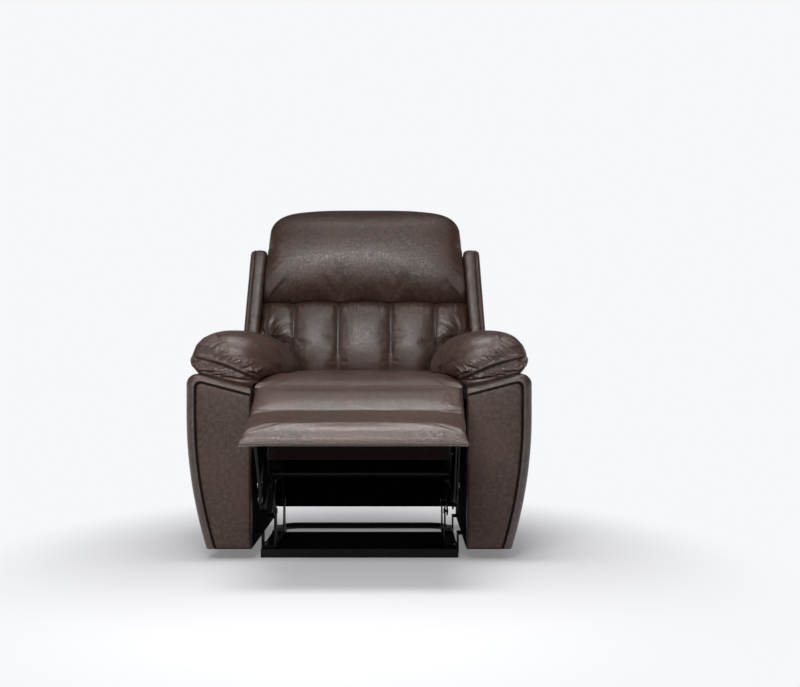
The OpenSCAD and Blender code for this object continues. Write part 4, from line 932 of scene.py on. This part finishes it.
pillow_leather = leather("pillow_leather", *soft_tones)
for side, word in ((-1, "left"), (1, "right")):
    pts = np.concatenate([closed_flat(pillow_shape[0], 14, -0.008)[::-1], pillow_shape,
        closed_flat(pillow_shape[-1], 7, 0.004)])
    pillow = grid_piece("arm_pillow_cover_" + word, flipped(pts, side), pillow_leather)
    p = spots(pillow)
    under_side = 1 - soft_step(facing(pillow)[:, 2], -0.5, 0.1)
    held = unit(under_side * soft_step(np.abs(p[:, 0]), 0.20, 0.30) * (p[:, 2] < 0.55)
        + soft_step(-np.abs(p[:, 0]), -0.225, -0.21))
    stuff(pillow, held, pressure=3.0, slack=0.03, cap=0.006)
    finer(pillow)
    p, n = spots(pillow), facing(pillow)
    ax, zz, depth = np.abs(p[:, 0]), p[:, 2], p[:, 1] - arm_front
    toward = soft_step(-n[:, 1], -0.1, 0.35) * soft_step(-depth, -0.090, -0.050)
    # the front seam falls from the outer side to the seat in a slightly bowed line
    go = (ax - seam_in) / seam_run
    seam_z = seam_low + seam_climb * go + seam_bow * np.sin(np.pi * unit(go))
    above = (zz - seam_z) * 0.94
    along_seam = soft_step(ax, 0.284, 0.296) * soft_step(-ax, -0.462, -0.438)
    gusset = soft_step(-above, -0.0005, 0.0085) * soft_step(-ax, -0.474, -0.452) * soft_step(ax, 0.270, 0.296)
    lip = 0.0034 * np.exp(-((above - 0.0030) / 0.0032) ** 2) * along_seam
    swell = 0.0070 * soft_step(above, 0.0, 0.03) * soft_step(-above, -0.115, -0.05)
    rng = np.random.default_rng(181)
    count = 15
    begin = np.linspace(0.302, 0.405, count) + rng.uniform(-0.003, 0.003, count)
    begin_z = (seam_low + seam_climb * (begin - seam_in) / seam_run
        + seam_bow * np.sin(np.pi * (begin - seam_in) / seam_run) + rng.uniform(0.003, 0.013, count))
    short = creases(-ax, zz, np.stack([-begin, begin_z], 1),
        np.radians(np.linspace(6, 27, count) + rng.uniform(-7, 7, count)),
        rng.uniform(0.026, 0.052, count), rng.uniform(0.0019, 0.0031, count), rng.uniform(0.0022, 0.0042, count))
    count = 7
    long_x, long_z = rng.uniform(0.38, 0.455, count), rng.uniform(0.567, 0.590, count)
    soft = creases(-ax, zz, np.stack([-long_x, long_z], 1), np.radians(rng.uniform(2, 24, count)),
        rng.uniform(0.05, 0.085, count), rng.uniform(0.0040, 0.0065, count), rng.uniform(0.0018, 0.0030, count))
    count = 6
    low_x = np.linspace(0.448, 0.350, count)
    under_z = 0.5260 - 0.20 * (0.448 - low_x) + rng.uniform(-0.002, 0.002, count)
    under = creases(-ax, zz, np.stack([-low_x, under_z], 1), np.radians(rng.uniform(-9, 4, count)),
        rng.uniform(0.05, 0.09, count), rng.uniform(0.0025, 0.0040, count), rng.uniform(0.0030, 0.0050, count))
    above_mask, below_mask = soft_step(above, 0.0005, 0.004), soft_step(-above, 0.001, 0.008)
    p = p + n * ((lip + swell + (short + soft) * above_mask + under * below_mask) * toward)[:, None]
    p[:, 1] += 0.0145 * gusset * toward
    # a soft long wave over the crown
    crown_wave = (waves(depth + 0.25 * ax, 91 + side, [0.09, 0.15, 0.24], 0.0020) * soft_step(n[:, 2], 0.1, 0.6)
        * soft_step(depth, 0.06, 0.12))
    p = p + n * crown_wave[:, None]
    # twin stitching where the cap's front and top panels meet
    panel_seam = near_seam(depth - 0.056 - 0.9 * np.clip(0.290 - ax, 0, None)) * (n[:, 2] > -0.2) * (ax < 0.34)
    slant = near_seam(above + 0.0012) * along_seam * (toward > 0.2)
    put(pillow, p)
    mark(pillow, "sewn", np.maximum(panel_seam, slant * 0.93))
    mark(pillow, "along", np.where(slant > panel_seam, ax, ax + zz))
    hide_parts("arm_pillow_" + word)
    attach(pillow, "base")

# Side wings of the back.
# Two firm padded leaves beside the back cushions, each with a wide inner roll, a line of piping
# and a narrow outer roll, closed over the top with a round front corner.
wing_len, wing_front, wing_rear, wing_round, wing_corner, cord_at = 0.290, 0.025, 0.190, 0.025, 0.004, 0.0342


def wing_outline(inset):
    """The leaf seen from the side, moved inwards: a rectangle with one round front corner, evenly spaced."""
    front, rear, low, high = wing_front + inset, wing_rear - inset, inset, wing_len - inset
    path = []
    for x, y, radius, start in ((rear, low, wing_corner, 0.0), (front, low, wing_corner, 1.5),
            (front, high, max(wing_round - inset, wing_corner), 1.0), (rear, high, wing_corner, 0.5)):
        a = np.pi * (start - np.linspace(0, 0.5, 14))
        middle_x, middle_y = x + (radius if x == front else -radius), y + (radius if y == low else -radius)
        path.append(np.stack([middle_x + radius * np.cos(a), middle_y + radius * np.sin(a)], 1))
    return even_path(np.concatenate(path + [path[0][:1]]), 190)


wing_x = np.array([0.0, 0.0, 0.0006, 0.0020, 0.0045, 0.0085, 0.0130, 0.0180, 0.0230, 0.0275, 0.0305, 0.0322, 0.0334,
    0.0342, 0.0350, 0.0362, 0.0380, 0.0400, 0.0420, 0.0436, 0.0446, 0.0450, 0.0450])
wing_in = np.array([0.0180, 0.0140, 0.0095, 0.0058, 0.0030, 0.0010, 0.0002, 0.0, 0.0003, 0.0010, 0.0022, 0.0040,
    0.0058, 0.0062, 0.0058, 0.0044, 0.0042, 0.0052, 0.0072, 0.0100, 0.0130, 0.0170, 0.0200])
tilt = math.atan(lean_in)
foot_x = seam_half + 0.0012 - lean_in * (widens_at - seam_up)
wing_leather = leather("wing_leather", (0.0480, 0.0265, 0.0198, 1), (0.0980, 0.0590, 0.0465, 1),
    (0.1020, 0.0520, 0.0395, 1), rough=0.32, shine=0.75)


def wing_place(points):
    """Leans a wing's points with the side of the back; the wing is a little thicker towards its top."""
    x = points[..., 0] * (1.09 + 0.08 * points[..., 2] / wing_len)
    z = points[..., 2] * 1.012
    return stacked(foot_x + x * math.cos(tilt) - z * math.sin(tilt), points[..., 1],
        widens_at + x * math.sin(tilt) + z * math.cos(tilt))


for side, word in ((-1, "left"), (1, "right")):
    loops = np.stack([wing_outline(d) for d in wing_in])
    local = stacked(wing_x[:, None], loops[..., 0], loops[..., 1])
    inner, outer = ([local[i].mean(0) + (local[i] - local[i].mean(0)) * k
        for k in (0.9, 0.75, 0.55, 0.35, 0.15, 0.0)] for i in (0, -1))
    local = np.concatenate([inner[::-1], local, outer])
    local[..., 1] += waves(local[..., 2], 101 + side, [0.06, 0.11, 0.17], 0.0012) * (local[..., 1] < 0.06)
    leaning = wing_place(local)
    leaning[..., 2] = np.clip(leaning[..., 2], widens_at, None)
    wing = grid_piece("wing_cover_" + word, flipped(on_back(leaning), side), wing_leather)
    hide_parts("back_wing_" + word)
    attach(wing, "back")
    edge_line = wing_outline(0.0030)
    edge_line = edge_line[(edge_line[:, 0] < 0.186) & (edge_line[:, 1] > 0.004)]
    line = stacked(cord_at, edge_line[:, 0], edge_line[:, 1])
    cording = pipe("wing_piping_" + word, flipped(on_back(wing_place(line)), side), 0.0021, wing_leather)
    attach(cording, "back")

# Outside back, low rear panel and seat front board.
# Stiff boards in leather with rounded edges: one behind the back frame, one low between the arms
# with a black sheet of painted shade on its inner face, and one under the nose of the seat in
# near-black leather, also painted shade.
def shrunk(loop, by):
    """A closed flat line moved inwards: each point along the normal of the line through its neighbours."""
    ahead = np.roll(loop, -2, 0) - np.roll(loop, 2, 0)
    ahead /= np.linalg.norm(ahead, axis=1, keepdims=True)
    area = 0.5 * np.sum(loop[:, 0] * np.roll(loop[:, 1], -1) - loop[:, 1] * np.roll(loop[:, 0], -1))
    inward = np.stack([-ahead[:, 1], ahead[:, 0]], 1) * np.sign(area)
    return loop + inward * by


panel_top, panel_low, head_round = 0.515, -0.118, 0.070
foot_half = foot_x - 0.0017
head_half = seam_half + 0.0012 - lean_in * (panel_top - head_round - seam_up) - 0.0017
arc = np.linspace(0, np.pi / 2, 16)
right_side = np.concatenate([[[narrow_half, panel_low], [narrow_half, widens_at], [foot_half, 0.1152]],
    np.stack([head_half - head_round + head_round * np.cos(arc), panel_top - head_round + head_round * np.sin(arc)],
    1)])
outline = even_path(np.concatenate([right_side, right_side[::-1] * [-1, 1], right_side[:1]]), 460)
layers = np.array([[0.1633, 0.020], [0.1633, 0.0035], [0.1640, 0.0010], [0.1660, 0.0], [0.1800, 0.0],
    [0.1850, 0.0008], [0.1880, 0.0030], [0.1895, 0.0065], [0.1900, 0.0110], [0.1903, 0.0200], [0.1904, 0.040]])
loops = np.stack([shrunk(outline, d) for d in layers[:, 1]])
mid_line = np.stack([np.zeros(len(outline)), np.clip(loops[-1][:, 1], -0.05, 0.40)], 1)
steps = np.linspace(0, 1, 14)[1:]
inner = loops[-1][None] + (mid_line - loops[-1])[None] * steps[:, None, None]
front_inner = loops[0][None] + (mid_line - loops[0])[None] * steps[::-1][:, None, None]
pts = np.concatenate([
    stacked(front_inner[..., 0], layers[0, 0], front_inner[..., 1]),
    stacked(loops[..., 0], layers[:, :1], loops[..., 1]),
    stacked(inner[..., 0], layers[-1, 0], inner[..., 1])])
back_leather = leather("back_leather", (0.0480, 0.0270, 0.0205, 1), (0.0980, 0.0600, 0.0480, 1),
    (0.1020, 0.0530, 0.0410, 1), rough=0.40, shine=0.40)
outside = grid_piece("back_panel_cover", on_back(pts), back_leather)
q = from_back(spots(outside))
qx, qy, qz = q.T
aside = np.abs(qx)
edge_half = np.interp(qz, [panel_low, widens_at - 0.0001, widens_at + 0.0001, panel_top - head_round],
    [narrow_half, narrow_half, foot_half, head_half])
mark(outside, "sewn", near_seam(edge_half - aside - 0.022) * (qy > 0.185) * (qz < panel_top - head_round))
mark(outside, "along", qz)
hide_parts("back_panel")
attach(outside, "back")


def padded_board(name, low, high, round_by, material, body, node=None):
    """A board wrapped in leather or cloth: a box whose front and rear faces run out to round edges."""
    low, high = np.array(low, float), np.array(high, float)
    cx, cz = (low[0] + high[0]) / 2, (low[2] + high[2]) / 2
    hx, hz = (high[0] - low[0]) / 2, (high[2] - low[2]) / 2
    a, b = even_loop(240, 0.035, hx, hz)
    turn = np.linspace(0, np.pi / 2, 6)
    ins = np.concatenate([round_by * (1 - np.sin(turn)), round_by * (1 - np.cos(turn))])
    ys = np.concatenate([low[1] + round_by * (1 - np.cos(turn)), high[1] - round_by * (1 - np.sin(turn))])
    rings = np.stack([stacked(cx + a * (hx - i), yy, cz + b * (hz - i)) for i, yy in zip(ins, ys)])
    rings = capped(rings, 10, (0, 0, 0), 10, (0, 0, 0))
    board = grid_piece(name, rings, material)
    if node:
        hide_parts(node)
    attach(board, body)
    return board


low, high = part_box("rear_panel")
rear_board = padded_board("rear_panel_cover", (low.x, low.y + 0.003, low.z), high, 0.005, back_leather, "base",
    "rear_panel")
# painted shade: a black sheet over the rear panel's inner face, standing for the shade under the seat
rear_shade_sheet = padded_board("rear_panel_shade_sheet", (low.x - 0.004, low.y, low.z - 0.0002),
    (high.x + 0.004, low.y + 0.0045, high.z), 0.0010, shade_cloth, "base")
low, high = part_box("seat_front_cover")
# the board under the seat's nose is in the near-black leather: painted shade under the nose
seat_front = padded_board("seat_front_board", low, high, 0.005, near_black_shade_leather, "seat", "seat_front_cover")


# Frame, linkage and small parts.
# The rest shows as the imported solids: black lacquered steel, zinc-plated rivets, bolts and springs,
# very dark brown plywood, black webbing, and moulded plastic for the release handle and the glides.
def surface_wear():
    """Scuffs and dust: broad patches broken by a fine scratch noise."""
    g, a, b = new_group("surface_wear", {"Vector": None, "Size": 0.03}, ("Patch", "Scratch"))
    inv = maths(g, "DIVIDE", 1.0, a.outputs["Size"])
    patch = wired(g, "ShaderNodeTexNoise", Vector=a.outputs["Vector"], Scale=inv, Detail=4.0, Roughness=0.6)
    long_way = wired(g, "ShaderNodeVectorMath", set_operation="MULTIPLY", i0=a.outputs["Vector"],
        i1=(40.0, 900.0, 900.0))
    scratch = wired(g, "ShaderNodeTexNoise", Vector=long_way.outputs[0], Scale=1.0, Detail=2.0)
    return given(g, b, Patch=patch.outputs[0], Scratch=scratch.outputs[0])


wear_group = surface_wear()


def hard_finish(name, dark, light, rough, metal, bump_depth, spec=0.5):
    """A painted, plated or moulded surface: two tones through the wear patches, and scratches in the gloss."""
    m, t, at = blank_material(name)
    wear = wired(t, "ShaderNodeGroup", set_node_tree=wear_group, Vector=at)
    spread = eased(t, wear.outputs["Patch"], 0.4, 0.7)
    tone = mixed(t, spread, dark, light)
    gloss = eased(t, wear.outputs["Scratch"], 0.3, 0.7, rough - 0.06, rough + 0.08, "LINEAR")
    return coat(m, tone, gloss, wear.outputs["Scratch"], 0.4, bump_depth, spec, metal)


def plywood_finish():
    """Plywood in very dark brown: long growth lines."""
    m, t, at = blank_material("plywood")
    stretch = wired(t, "ShaderNodeMapping", Vector=at, Scale=(3.0, 14.0, 60.0))
    grain = wired(t, "ShaderNodeTexNoise", Vector=stretch.outputs[0], Scale=4.0, Detail=5.0, Roughness=0.6,
        Distortion=0.6)
    tone = mixed(t, grain.outputs[0], (0.012, 0.0065, 0.0042, 1), (0.030, 0.0170, 0.0110, 1))
    return coat(m, tone, 0.65, grain.outputs[0], 0.3, 0.0004)


def webbing_finish():
    """Woven elastic webbing: a basket of dark threads, 2 mm apart both ways."""
    m, t, at = blank_material("woven_webbing")
    wave_a = wired(t, "ShaderNodeTexWave", Vector=at, Scale=160.0, set_bands_direction="X")
    wave_b = wired(t, "ShaderNodeTexWave", Vector=at, Scale=160.0, set_bands_direction="Z")
    woven = maths(t, "MULTIPLY", wave_a.outputs["Fac"], wave_b.outputs["Fac"])
    tone = mixed(t, woven, (0.010, 0.010, 0.011, 1), (0.035, 0.034, 0.036, 1))
    return coat(m, tone, 0.85, woven, 0.6, 0.0006)


finishes = {
    "pan_paint": hard_finish("pan_paint", (0.0018, 0.0016, 0.0017, 1), (0.0042, 0.0038, 0.0040, 1), 0.75, 0.0,
    0.00008, 0.02),
    "black_steel": hard_finish("black_lacquer", (0.0022, 0.0021, 0.0023, 1), (0.0060, 0.0058, 0.0061, 1), 0.42, 0.0,
    0.00005, 0.22),
    "zinc_steel": hard_finish("zinc_plate", (0.16, 0.16, 0.17, 1), (0.34, 0.34, 0.36, 1), 0.38, 1.0, 0.00004),
    "black_plastic": hard_finish("handle_plastic", (0.010, 0.010, 0.010, 1), (0.018, 0.018, 0.018, 1), 0.48, 0.0,
    0.00012),
    "glide_plastic": hard_finish("glide_plastic", (0.012, 0.012, 0.013, 1), (0.025, 0.025, 0.026, 1), 0.60, 0.0,
    0.00010),
    "timber": plywood_finish(),
    "webbing": webbing_finish(),
}
for part in frame["record"]["subparts"]:
    node = frame["nodes"][part["node"]]
    chosen = finishes["pan_paint"] if "pan" in part["node"] else finishes.get(part["material_slot"])
    if chosen is not None:
        node.data.materials.clear()
        node.data.materials.append(chosen)
